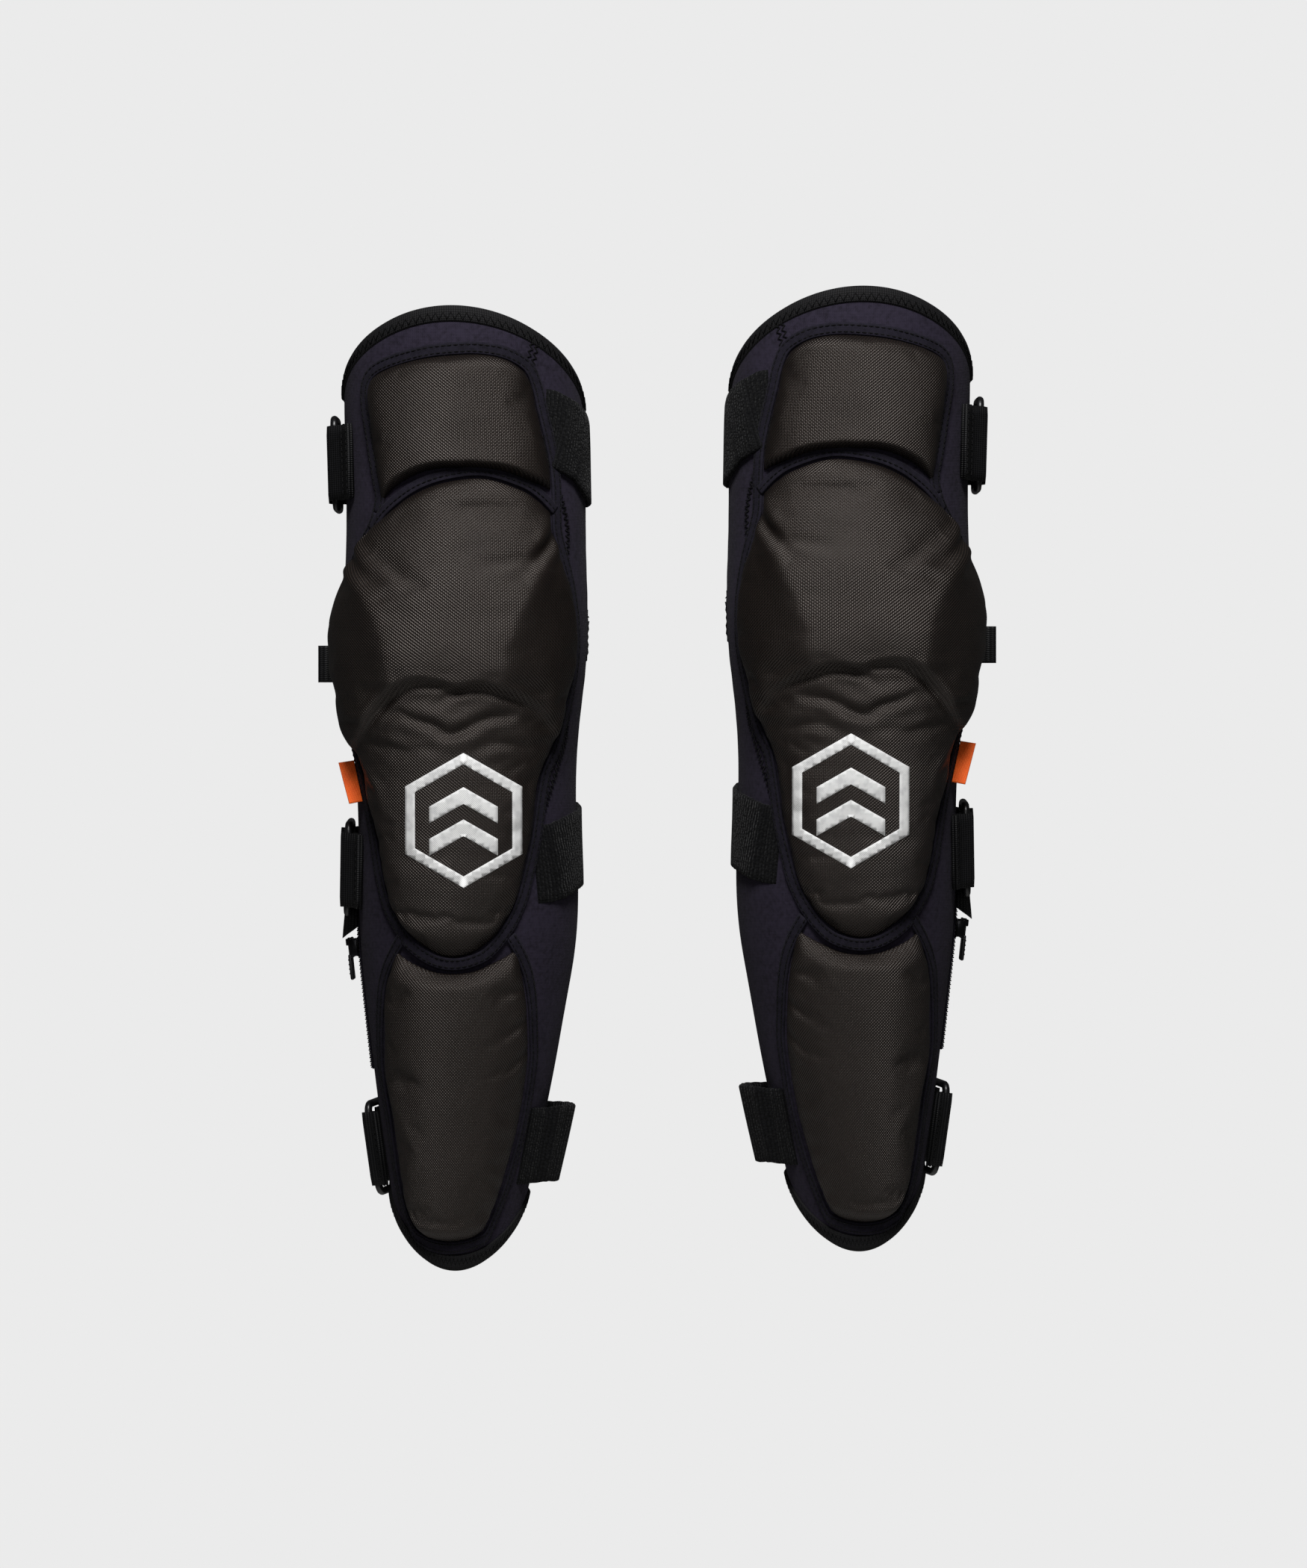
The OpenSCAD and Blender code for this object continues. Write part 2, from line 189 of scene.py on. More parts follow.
# ---- ways of making meshes
class Line:  # a smooth line through a few points, walked by its length
    def __init__(self, points, closed=False, dense=10):
        spots = [Vector(p) for p in points]
        n = len(spots)
        self.fine = []
        for i in range(n if closed else n - 1):
            p = [spots[(i + k) % n] if closed else spots[max(0, min(n - 1, i + k))] for k in (-1, 0, 1, 2)]
            for j in range(dense):
                t = j / dense
                self.fine.append(0.5 * (2 * p[1] + (p[2] - p[0]) * t
                                        + (2 * p[0] - 5 * p[1] + 4 * p[2] - p[3]) * t * t
                                        + (3 * p[1] - p[0] - 3 * p[2] + p[3]) * t ** 3))
        self.fine.append(spots[0] if closed else spots[-1])
        self.marks = [0.0]
        for a, b in zip(self.fine, self.fine[1:]):
            self.marks.append(self.marks[-1] + (b - a).length)
        self.length = self.marks[-1]
        self.closed = closed

    def at(self, distance):
        d = distance % self.length if self.closed else max(0.0, min(self.length, distance))
        low, high = 0, len(self.marks) - 1
        while high - low > 1:
            mid = (low + high) // 2
            low, high = (mid, high) if self.marks[mid] <= d else (low, mid)
        return self.fine[low].lerp(self.fine[high],
                                   (d - self.marks[low]) / max(1e-9, self.marks[high] - self.marks[low]))

    def heading(self, distance):
        return (self.at(distance + 0.5) - self.at(distance - 0.5)).normalized()


def facesOut(bm):
    score = 0.0
    for face in bm.faces:
        spot = face.calc_center_median()
        cx, cy, a, b = leg(spot.z)
        score += face.normal.dot(spot - Vector((cx, cy, spot.z))) * face.calc_area()
    if score < 0:
        bmesh.ops.reverse_faces(bm, faces=bm.faces)


def gridPiece(columns, rows, placeAt, aroundU=False, aroundV=False, isSolid=False):
    bm = bmesh.new()
    layer = bm.loops.layers.uv.new("UVMap")
    bmesh.ops.create_grid(bm, x_segments=columns, y_segments=rows, size=1)
    spots = {v: placeAt((v.co.x + 1) / 2, (v.co.y + 1) / 2) for v in bm.verts}
    for face in bm.faces:
        for loop in face.loops:
            loop[layer].uv = spots[loop.vert][1]
    for v, spot in spots.items():
        v.co = spot[0]
    if aroundU or aroundV:
        bmesh.ops.remove_doubles(bm, verts=bm.verts, dist=0.002)
    if isSolid:
        bmesh.ops.holes_fill(bm, edges=[e for e in bm.edges if e.is_boundary], sides=0)
        bmesh.ops.recalc_face_normals(bm, faces=bm.faces)
    else:
        bm.normal_update()
        facesOut(bm)
    return bm


def onSkin(z, turn, h):  # a place on the leg with its pattern coordinates, in metres of cloth
    return skin(z, turn, h), (math.radians(turn) * guard["round"] * 0.001, z * 0.001)


def sheetOnSkin(columns, rows, placeAt, aroundU=False):
    return gridPiece(columns, rows, lambda u, v: onSkin(*placeAt(u, v)), aroundU)


def toFlat(x, z, h=4.0):  # a place seen from the front, as millimetres round the leg and up it
    return Vector((math.radians(turnAt(x, z, h)) * guard["round"], z))


def onFlat(s, z, h):
    return onSkin(z, math.degrees(s / guard["round"]), h)


def flatLine(points, closed=False):
    return Line([toFlat(x, z) for x, z in points], closed)


# section: (distance aside, height) round the band
def bandOnLeg(line, section, columns, rise=lambda spot: 0.0, uneven=0.0):
    n = len(section)

    def placeAt(u, v):
        d = u * line.length
        spot, way = line.at(d), line.heading(d)
        aside, h = section[round(v * n) % n]
        h += rise(spot) + uneven * noise.noise(Vector((d / 9, aside / 9, 3.3)))
        return onFlat(spot.x + way.y * aside, spot.y - way.x * aside, h)[0], (d * 0.001, aside * 0.001)
    return gridPiece(columns, n, placeAt, line.closed, True, True)


# threads along a line: dashes, or a zigzag that swings
def stitches(line, aside, height, step=3.1, stitch=2.3, swing=0.0):
    paths, count = [], max(2, round(line.length / step))
    heightAt = height if callable(height) else lambda p: height

    def at(distance, sideways):
        spot, way = line.at(distance), line.heading(distance)
        p = Vector((spot.x + way.y * sideways, spot.y - way.x * sideways))
        return p, onFlat(p.x, p.y, heightAt(p))[0]
    if swing:
        turns = range(count if line.closed else count + 1)
        return [[at(line.length * i / count, aside + (swing if i % 2 else -swing))[1] for i in turns]]
    for i in range(count):
        start = line.length * i / count
        ends = [at(start + stitch * k / 2, aside)[0] for k in range(3)]
        paths.append([onFlat(p.x, p.y, heightAt(p) - (0.0 if k == 1 else 0.35))[0]
                      for k, p in enumerate(ends)])
    return paths


def threadMesh(paths, radius):  # thin threads through lists of points, as one mesh
    curve = bpy.data.curves.new("thread", "CURVE")
    curve.dimensions = "3D"
    curve.bevel_depth = radius
    curve.bevel_resolution = 0
    curve.use_fill_caps = True
    for path in paths:
        spline = curve.splines.new("POLY")
        spline.points.add(len(path) - 1)
        for point, place in zip(spline.points, path):
            point.co = (*place, 1)
    holder = bpy.data.objects.new("thread", curve)
    scene.collection.objects.link(holder)
    mesh = bpy.data.meshes.new_from_object(holder.evaluated_get(bpy.context.evaluated_depsgraph_get()))
    bm = bmesh.new()
    bm.from_mesh(mesh)
    bpy.data.objects.remove(holder)
    bpy.data.curves.remove(curve)
    bpy.data.meshes.remove(mesh)
    bmesh.ops.recalc_face_normals(bm, faces=bm.faces)
    return bm


def addPair(name, bm, material, body=None, bend=None, stands=(), wall=0, rounds=0):
    for side in ("left", "right"):
        mesh = bpy.data.meshes.new(side + name)
        bm.to_mesh(mesh)
        mesh.transform(toRow[side])
        if side == "right":
            mesh.flip_normals()
        mesh.shade_smooth()
        mesh.materials.append(material)
        piece = bpy.data.objects.new(side + name, mesh)
        scene.collection.objects.link(piece)
        if wall:
            solid = piece.modifiers.new("wall", "SOLIDIFY")
            solid.thickness = wall / 1000
            solid.offset = -1
        if rounds:
            finer = piece.modifiers.new("rounds", "SUBSURF")
            finer.levels = finer.render_levels = rounds
        if bend == "knee":
            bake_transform(piece)
        elif bend:
            side + "_" + bend[0]
            side + "_" + bend[1]
            toRow[side] @ bend[2]
            toRow[side] @ bend[3]
            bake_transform(piece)
        else:
            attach(piece, side + "_" + body)
        if stands:
            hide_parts(*[side + "_" + s for s in stands])


def joined(*parts):  # several meshes as one
    whole = bmesh.new()
    whole.loops.layers.uv.new("UVMap")
    for part in parts:
        carrier = bpy.data.meshes.new("part")
        part.to_mesh(carrier)
        whole.from_mesh(carrier)
        bpy.data.meshes.remove(carrier)
        part.free()
    return whole


# ---- finishes
class Value:  # a socket that takes part in sums
    def __init__(self, finish, socket):
        self.finish, self.socket = finish, socket

    def sum(self, operation, a, b):
        return self.finish.node("Math", {"operation": operation}, i0=a, i1=b)

    def __add__(self, other):
        return self.sum("ADD", self, other)

    __radd__ = __add__

    def __sub__(self, other):
        return self.sum("SUBTRACT", self, other)

    def __rsub__(self, other):
        return self.sum("SUBTRACT", other, self)

    def __mul__(self, other):
        return self.sum("MULTIPLY", self, other)

    __rmul__ = __mul__


class Finish:
    def __init__(self, name, **fixed):
        self.material = bpy.data.materials.new(name)
        self.material.use_nodes = True
        self.tree = self.material.node_tree
        self.shader = self.tree.nodes["Principled BSDF"]
        for socket, value in fixed.items():
            self.shader.inputs[socket.replace("_", " ")].default_value = value

    def node(self, kind, settings=None, output=0, **sockets):
        made = self.tree.nodes.new("ShaderNode" + kind)
        for key, value in (settings or {}).items():
            if key == "stops":
                ramp = made.color_ramp
                while len(ramp.elements) < len(value):
                    ramp.elements.new(0.5)
                for element, (place, shade) in zip(ramp.elements, value):
                    element.position, element.color = place, (shade, shade, shade, 1)
            else:
                setattr(made, key, value)
        for key, value in sockets.items():
            self.put(made.inputs[int(key[1:])] if key[1:].isdigit() else made.inputs[key.replace("_", " ")],
                     value)
        return Value(self, made.outputs[output])

    def put(self, socket, value):
        if isinstance(value, Value):
            self.tree.links.new(value.socket, socket)
        else:
            socket.default_value = value

    def wave(self, value):  # 0 to 1 and back, once per unit
        return self.node("Math", {"operation": "SINE"}, i0=value * (2 * math.pi)) * 0.5 + 0.5

    def threads(self):  # the piece's own pattern coordinates, in metres
        split = self.node("SeparateXYZ", i0=self.node("UVMap", {"uv_map": "UVMap"}))
        return split, Value(self, split.socket.node.outputs[1])

    def place(self):  # where a point is on the piece, in metres
        return self.node("TexCoord", output=3)

    def grain(self, scale, detail=2.0):
        return self.node("TexNoise", Vector=self.place(), Scale=scale, Detail=detail)

    def clip(self, value, low, high, toLow=0.0, toHigh=1.0):
        return self.node("MapRange", {"clamp": True, "interpolation_type": "SMOOTHSTEP"}, i0=value, i1=low,
                         i2=high, i3=toLow, i4=toHigh)

    def blendOf(self, factor, a, b):
        return self.node("Mix", {"data_type": "RGBA"}, output=2, i0=factor, i6=a, i7=b)

    def colour(self, value):
        self.put(self.shader.inputs["Base Color"], value)

    def rough(self, value):
        self.put(self.shader.inputs["Roughness"], value)

    def relief(self, height, depth):
        self.put(self.shader.inputs["Normal"], self.node("Bump", Height=height, Distance=depth))


def tone(red, green, blue):  # a colour on the 0-255 scale
    return (*[(c / 255 / 12.92) if c < 10.3 else ((c / 255 + 0.055) / 1.055) ** 2.4
              for c in (red, green, blue)], 1)


def twillFinish():
    look = {"dark": (2, 2, 2), "light": (37, 29, 25), "pitch": 0.0016}
    f = Finish("twill", IOR=1.5, Specular_IOR_Level=0.55, Specular_Tint=(1.0, 0.9, 0.84, 1.0))
    u, v = f.threads()
    warp, weft = u * (1 / look["pitch"]), v * (1 / look["pitch"])
    ribs = f.wave(warp + weft)
    crossings = f.wave(warp * 2) * f.wave(weft * 2)
    weave = ribs * 0.7 + crossings * 0.5
    worn = f.grain(26, 4)
    f.colour(f.blendOf(f.clip(weave * 0.95 + worn * 0.3, 0.2, 1.2), tone(*look["dark"]),
                       tone(*look["light"])))
    f.rough(0.42 - weave * 0.1 + worn * 0.1)
    f.relief(weave + f.grain(160, 3) * 0.6, 0.00035)
    return f.material


def knitFinish(name, dark, light, pitch, fuzz):  # fine jersey: rows of loops with a soft nap
    f = Finish(name, IOR=1.4, Specular_IOR_Level=0.2, Sheen_Weight=0.02, Sheen_Roughness=0.5)
    u, v = f.threads()
    across, along = u * (1 / pitch), v * (1 / pitch)
    lean = f.wave(across) * 0.35
    loops = f.wave(across * 2) * 0.5 + f.wave(along * 1.6 + lean) * 0.5
    nap = f.grain(420, 2)
    soft = f.grain(34, 3)
    f.colour(f.blendOf(f.clip(loops * 0.35 + nap * fuzz + soft * 0.5, 0.3, 1.1), tone(*dark), tone(*light)))
    f.rough(0.92 - loops * 0.1 - soft * 0.08)
    f.relief(loops * 0.6 + nap, 0.00016)
    return f.material


# ribs along v and cross threads, both in metres
def ribbedFinish(name, dark, light, along, across, depth, roughness):
    f = Finish(name, IOR=1.47, Specular_IOR_Level=0.25)
    u, v = f.threads()
    ribs = f.wave(u * (1 / along))
    ties = f.wave(v * (1 / across) + ribs * 0.25)
    grain = f.grain(300, 2)
    f.colour(f.blendOf(f.clip(ribs * 0.55 + ties * 0.25 + grain * 0.4, 0.2, 1.1), tone(*dark), tone(*light)))
    f.rough(roughness - ribs * 0.12 + grain * 0.1)
    f.relief(ribs * 0.7 + ties * 0.5 + grain * 0.3, depth)
    return f.material


def loopPileFinish():  # the soft side of a touch fastener: short loops in rows
    look = {"dark": (2, 2, 3), "light": (15, 15, 17), "row": 0.0021}
    f = Finish("loopPile", IOR=1.4, Specular_IOR_Level=0.2, Sheen_Weight=0.04, Sheen_Roughness=0.45)
    u, v = f.threads()
    tufts = f.node("TexVoronoi", Vector=f.place(), Scale=760.0, Randomness=0.85)
    rows = f.wave(u * (1 / look["row"]) + f.grain(180, 2) * 0.9)
    pile = (1 - tufts) * 0.7 + rows * 0.45
    f.colour(f.blendOf(f.clip(pile + f.grain(60, 3) * 0.3, 0.45, 1.25), tone(*look["dark"]),
                       tone(*look["light"])))
    f.rough(0.85 - rows * 0.12)
    f.relief(pile, 0.0008)
    return f.material


def mouldedFinish(name, base, worn, roughness, speckle, **fixed):  # plastic and enamelled metal
    f = Finish(name, **fixed)
    fine, broad = f.grain(speckle, 3), f.grain(70, 4)
    f.colour(f.blendOf(f.clip(broad, 0.3, 0.75), tone(*base), tone(*worn)))
    f.rough(roughness + broad * 0.16 - 0.08)
    f.relief(fine, 0.00006)
    return f.material


def printFinish():  # thick white ink that lets the twill show through as relief
    f = Finish("printInk", IOR=1.5)
    u, v = f.threads()
    cloth = f.wave((u + v) * (1 / 0.00105))
    crazed = f.grain(240, 5)
    f.colour(f.blendOf(f.clip(crazed, 0.25, 0.6), tone(206, 206, 206), tone(232, 232, 231)))
    f.rough(0.5 + crazed * 0.15)
    f.relief(cloth * 0.6 + crazed * 0.5, 0.00012)
    return f.material


finishes = {
    "twill": twillFinish(),
    "jersey": knitFinish("jersey", (12, 9, 16), (43, 38, 52), 0.0013, 0.9),
    "stretchRib": ribbedFinish("stretchRib", (8, 8, 10), (30, 29, 35), 0.0034, 0.0015, 0.0009, 0.85),
    "binding": ribbedFinish("binding", (8, 8, 9), (26, 25, 27), 0.0012, 0.0012, 0.0002, 0.8),
    "tape": knitFinish("tape", (7, 6, 11), (30, 27, 38), 0.0011, 0.8),
    "loopPile": loopPileFinish(),
    "webbing": ribbedFinish("webbing", (4, 4, 5), (21, 21, 23), 0.0016, 0.0011, 0.0003, 0.55),
    "ringPlastic": mouldedFinish("ringPlastic", (10, 10, 11), (24, 24, 26), 0.34, 900, IOR=1.5),
    "zipCoil": mouldedFinish("zipCoil", (9, 9, 10), (24, 24, 26), 0.38, 1200, IOR=1.5),
    "zipEnamel": mouldedFinish("zipEnamel", (24, 24, 26), (52, 52, 55), 0.3, 700, Metallic=0.85),
    "thread": ribbedFinish("thread", (3, 3, 4), (13, 12, 15), 0.0009, 0.0009, 0.00008, 0.6),
    "labelCloth": ribbedFinish("labelCloth", (216, 74, 16), (255, 118, 40), 0.0008, 0.0006, 0.00012, 0.6),
    "printInk": printFinish(),
}
print("finishes made:", len(finishes))


# ---- sleeve
sleeve = {"columns": 128, "rows": 200, "wall": 3.0, "hidden": 6.5, "backFolds": 0.9, "foldPitch": 15}


def sleeveRise(turn, z):  # the sleeve's own unevenness, with folds behind the knee
    behind = ease((abs(turn) - 80) / 60)
    folds = behind * hump(z, -4, 48) * math.sin(2 * math.pi * z / sleeve["foldPitch"]
                                                + 1.4 * math.sin(math.radians(turn) * 3))
    soft = noise.noise(Vector((math.cos(math.radians(turn)) * 1.6, math.sin(math.radians(turn)) * 1.6,
                               z / 46)))
    return sleeve["backFolds"] * folds + 0.55 * soft * (0.35 + behind)


def sleeveSpot(u, v):
    turn = 360 * u - 180
    z = mix(edgeAt(bottomEdgeHeights, turn) + sleeve["hidden"],
            edgeAt(topEdgeHeights, turn) - sleeve["hidden"], v)
    return z, turn, sleeveRise(turn, z)


addPair("Sleeve", sheetOnSkin(sleeve["columns"], sleeve["rows"], sleeveSpot, True), finishes["jersey"],
        bend="knee", stands=("thigh_sleeve", "shin_sleeve"), wall=sleeve["wall"])


# ---- stretch panel behind the knee
gusset = {"from": 97, "to": 263, "high": 58, "stand": 0.75, "pleat": 7.2, "pleatDepth": 0.8}


def gussetReach(turn):
    part = (turn - gusset["from"]) / (gusset["to"] - gusset["from"])
    return 5 + gusset["high"] * max(0.0, math.sin(math.radians(part * 180))) ** 0.75


def gussetSpot(u, v):
    turn = mix(gusset["from"], gusset["to"], u)
    z = gussetReach(turn) * (2 * v - 1) - 1
    rim = min(1.0, 4 * min(u, 1 - u), 6 * min(v, 1 - v))
    pleats = gusset["pleatDepth"] * rim * math.cos(2 * math.pi * z / gusset["pleat"])
    return z, turn, gusset["stand"] + sleeveRise(turn if turn <= 180 else turn - 360, z) + pleats + 0.9 * rim


def gussetSeamHeight(p):
    turn = math.degrees(p.x / guard["round"])
    return 0.95 + sleeveRise(turn if turn <= 180 else turn - 360, p.y)


addPair("KneeBackPanel", sheetOnSkin(72, 96, gussetSpot), finishes["stretchRib"], bend="knee",
        stands=("knee_gusset",), wall=1.1)
panelRim = [Vector((math.radians(t) * guard["round"], s * gussetReach(t) - 1))
            for s, turns in ((1, range(99, 262, 6)), (-1, range(261, 98, -6))) for t in turns]
backSeam = stitches(Line(panelRim, True), 0.6, gussetSeamHeight, step=2.0, swing=1.3)
addPair("KneeBackSeam", threadMesh(backSeam, 0.32), finishes["thread"], bend="knee")


# ---- bound edges
cuff = {"columns": 276, "puckers": 92, "stitchAt": 5.0, "swing": 1.7, "turns": 184,
        "edges": (("Top", 1, topEdgeHeights, "thigh"), ("Bottom", -1, bottomEdgeHeights, "shin"))}
cuffProfile = [(-8.3, -0.2), (-8, 0.55), (-7, 0.95), (-5.5, 1.1), (-3, 1.2), (-1.2, 1.05), (-0.2, 0.5),
               (0.25, -0.5), (0.3, -1.6), (0.2, -2.7),
               (-0.3, -3.5), (-1.4, -4.1), (-3.2, -4.2), (-6, -4.1), (-8, -3.6), (-8.2, -2.8)]
for part, sign, heights, body in cuff["edges"]:
    def cuffSpot(u, v):
        turn = 360 * u - 180
        away, h = cuffProfile[round(v * len(cuffProfile)) % len(cuffProfile)]
        pucker = 0.18 * math.cos(u * 2 * math.pi * cuff["puckers"]) if -7.6 < away < -3.4 and h > 0 else 0
        pattern = (math.radians(turn) * guard["round"] * 0.001, away * 0.001 + h * 0.0005)
        return skin(edgeAt(heights, turn) + sign * away, turn, h + pucker), pattern
    addPair(part + "Cuff", gridPiece(cuff["columns"], len(cuffProfile), cuffSpot, True, True, True),
            finishes["binding"], body=body, stands=(part.lower() + "_cuff",))
    rim = []
    for i in range(cuff["turns"] + 1):
        t = -180 + 360 * i / cuff["turns"]
        below = cuff["stitchAt"] + (cuff["swing"] if i % 2 else -cuff["swing"])
        rim.append(skin(edgeAt(heights, t) - sign * below, t, 1.3))
    addPair(part + "CuffStitch", threadMesh([rim], 0.42), finishes["thread"], body=body)
print("sleeve and edges made")


# ---- padded panels
class Panel:  # a four-sided piece of cloth on the leg, between four lines that meet at its corners
    def __init__(self, left, right, bottom, top, rolls):
        self.sides = [flatLine(side) for side in (left, right, bottom, top)]
        self.rolls = rolls  # how far each side takes to reach full height

    def spot(self, u, v):
        left, right, bottom, top = [line.at(t * line.length) for line, t in zip(self.sides, (v, v, u, u))]
        corners = [self.sides[k].at(self.sides[k].length * e) for k, e in ((0, 0), (1, 0), (0, 1), (1, 1))]
        flat = bottom * (1 - v) + top * v + left * (1 - u) + right * u
        flat -= (corners[0] * (1 - u) * (1 - v) + corners[1] * u * (1 - v)
                 + corners[2] * (1 - u) * v + corners[3] * u * v)
        return flat, (right - left).length, (top - bottom).length

    def fullness(self, u, v, wide, high):  # 0 on the outline, 1 well inside it
        full = 1.0
        for d, roll in zip((u * wide, (1 - u) * wide, v * high, (1 - v) * high), self.rolls):
            t = min(1.0, d / roll)
            full *= math.sqrt(max(0.0, 1 - (1 - t) ** 2)) if roll < 8 else 1 - (1 - t) ** 2.6
        return full


def smoothBetween(pairs, x):
    if x <= pairs[0][0]:
        return pairs[0][1]
    for (x0, y0), (x1, y1) in zip(pairs, pairs[1:]):
        if x <= x1:
            t = (x - x0) / (x1 - x0)
            return mix(y0, y1, t * t * (3 - 2 * t))
    return pairs[-1][1]


def straightBetween(pairs, x):
    for (x0, y0), (x1, y1) in zip(pairs, pairs[1:]):
        if x <= x1:
            return mix(y0, y1, max(0.0, (x - x0) / (x1 - x0)))
    return pairs[-1][1]


class Crease:  # a fold pressed into a panel, deepest at its first point unless it is even
    def __init__(self, points, depth, width, shoulder=0.0, fades=True):
        self.line = flatLine(points)
        self.depth, self.width, self.shoulder, self.fades = depth, width, shoulder, fades
        xs, ys = [p.x for p in self.line.fine], [p.y for p in self.line.fine]
        self.low = (min(xs) - 7 * width, min(ys) - 7 * width)
        self.high = (max(xs) + 7 * width, max(ys) + 7 * width)

    def at(self, flat):
        if not (self.low[0] < flat.x < self.high[0] and self.low[1] < flat.y < self.high[1]):
            return 0.0
        best, place = 1e9, 0.0
        for i, (a, b) in enumerate(zip(self.line.fine, self.line.fine[1:])):
            dx, dy, px, py = b.x - a.x, b.y - a.y, flat.x - a.x, flat.y - a.y
            t = max(0.0, min(1.0, (px * dx + py * dy) / (dx * dx + dy * dy)))
            d = (px - dx * t) ** 2 + (py - dy * t) ** 2
            if d < best:
                best, place = d, self.line.marks[i] + t * (self.line.marks[i + 1] - self.line.marks[i])
        t = place / self.line.length
        strength = 1 - ease((t - 0.25) / 0.75) if self.fades else min(1.0, 5 * t, 5 * (1 - t))
        d = math.sqrt(best)
        return strength * (-self.depth * math.exp(-(d / self.width) ** 2)
                           + self.shoulder * math.exp(-((d - 2.2 * self.width) / (1.3 * self.width)) ** 2))


clothGive = {"quality": 6, "mass": 0.2, "stiff": 8.0, "bending": 0.35, "frames": 20, "smooth": 0.35}


def puffed(bm, pinned, pressure, growth, most):  # the cloth's own give, held along its seams
    mesh = bpy.data.meshes.new("cloth")
    bm.to_mesh(mesh)
    mesh.transform(Matrix.Diagonal((0.001, 0.001, 0.001, 1)))
    cloth = bpy.data.objects.new("cloth", mesh)
    scene.collection.objects.link(cloth)
    held = cloth.vertex_groups.new(name="held")
    for i, weight in enumerate(pinned):
        if weight > 0:
            held.add([i], weight, "REPLACE")
    made = cloth.modifiers.new("cloth", "CLOTH")
    how = made.settings
    how.quality = clothGive["quality"]
    how.mass = clothGive["mass"]
    how.tension_stiffness = how.compression_stiffness = clothGive["stiff"]
    how.shear_stiffness = clothGive["stiff"] * 0.6
    how.bending_stiffness = clothGive["bending"]
    how.use_pressure = True
    how.uniform_pressure_force = pressure
    how.shrink_min = -growth
    how.shrink_max = -growth
    how.vertex_group_mass = "held"
    how.effector_weights.gravity = 0
    made.collision_settings.use_collision = False
    made.point_cache.frame_start, made.point_cache.frame_end = 1, clothGive["frames"]
    for frameNumber in range(1, clothGive["frames"] + 1):
        scene.frame_set(frameNumber)
    after = cloth.evaluated_get(bpy.context.evaluated_depsgraph_get()).to_mesh()
    bm.verts.ensure_lookup_table()
    for v, moved in zip(bm.verts, after.vertices):
        step = moved.co * 1000 - v.co
        v.co += step * (min(step.length, most) / max(1e-6, step.length))
    scene.frame_set(1)
    bpy.data.objects.remove(cloth)
    bpy.data.meshes.remove(mesh)
    bmesh.ops.smooth_vert(bm, verts=[v for v, w in zip(bm.verts, pinned) if w == 0],
                          factor=clothGive["smooth"], use_axis_x=True, use_axis_y=True, use_axis_z=True)
    return bm


def panelMesh(panel, columns, rows, heightAt, holds=(), pressure=4.0, growth=0.02, most=3.0):
    pinned = []

    def placeAt(u, v):
        flat, wide, high = panel.spot(u, v)
        return onFlat(flat.x, flat.y, heightAt(flat, u, v, panel.fullness(u, v, wide, high)))
    bm = gridPiece(columns, rows, placeAt)
    bm.verts.ensure_lookup_table()
    for v in bm.verts:
        rim = v.is_boundary
        flat = Vector((math.radians(turnOf(v.co)) * guard["round"], v.co.z))
        held = any(crease.at(flat) < -0.45 * crease.depth for crease in holds)
        pinned.append(1.0 if rim or held else 0.0)
    return puffed(bm, pinned, pressure, growth, most)


thighPanel = Panel(
    left=[(-41.2, 68.0), (-43.6, 80), (-46.6, 100), (-48.9, 118), (-48.4, 127), (-44.5, 133)],
    right=[(49.8, 73.5), (48.6, 86), (45.5, 101), (42, 115), (39.6, 126), (35.5, 134.5)],
    bottom=[(-41.2, 68.0), (-31.5, 76.1), (-20, 81.8), (-7.5, 84.2), (11.8, 84.2), (24, 82.4), (36, 78.6),
            (49.8, 73.5)],
    top=[(-44.5, 133), (-34, 137.4), (-18, 141.2), (0, 143), (14, 143), (26, 140.4), (35.5, 134.5)],
    rolls=(11, 11, 4.5, 11))
kneePanel = Panel(
    left=[(-30, -149.4), (-36.4, -138), (-40.5, -122), (-43.6, -104.4), (-47.6, -83.5), (-52.4, -64.3),
          (-58.1, -48.2), (-62.6, -34), (-64.4, -16),
          (-64.2, 0.8), (-59.8, 20), (-54.8, 33), (-49.5, 44), (-45.2, 51.5)],
    right=[(24.7, -147.7), (31.1, -134.9), (34.8, -122), (39.1, -102.8), (41.8, -83.5), (44.6, -69),
           (50.2, -57), (55.6, -38), (60, -18), (61, -3),
           (60, 12), (56.8, 27.9), (52.8, 42), (50, 53), (49.6, 62)],
    bottom=[(-30, -149.4), (-23.5, -157), (-12.3, -164.2), (-2.6, -166.2), (7, -164.2), (15, -159),
            (20.5, -153.6), (24.7, -147.7)],
    top=[(-45.2, 51.5), (-38, 61), (-23.5, 71.6), (-7.5, 77.5), (13.4, 79.6), (32.7, 74.2), (42, 68.8),
         (49.6, 62)],
    rolls=(10, 10, 13, 11))
shinPanel = Panel(
    left=[(-23.7, -305.9), (-30.7, -286.7), (-36, -250), (-39.8, -226), (-40.3, -205), (-39.5, -184),
          (-34.0, -163)],
    right=[(13.6, -307.4), (21.9, -288.4), (28.4, -268), (32.9, -250), (37.2, -222), (37.4, -205),
           (36.4, -188), (31.2, -162)],
    bottom=[(-23.7, -305.9), (-19, -310.2), (-13.2, -312.4), (-5, -313.2), (2.6, -312.4), (8.6, -310.6),
            (13.6, -307.4)],
    top=[(-34.0, -163), (-24, -169), (-10, -173.6), (6, -173.2), (18, -168.6), (31.2, -162)],
    rolls=(10, 10, 9, 12))

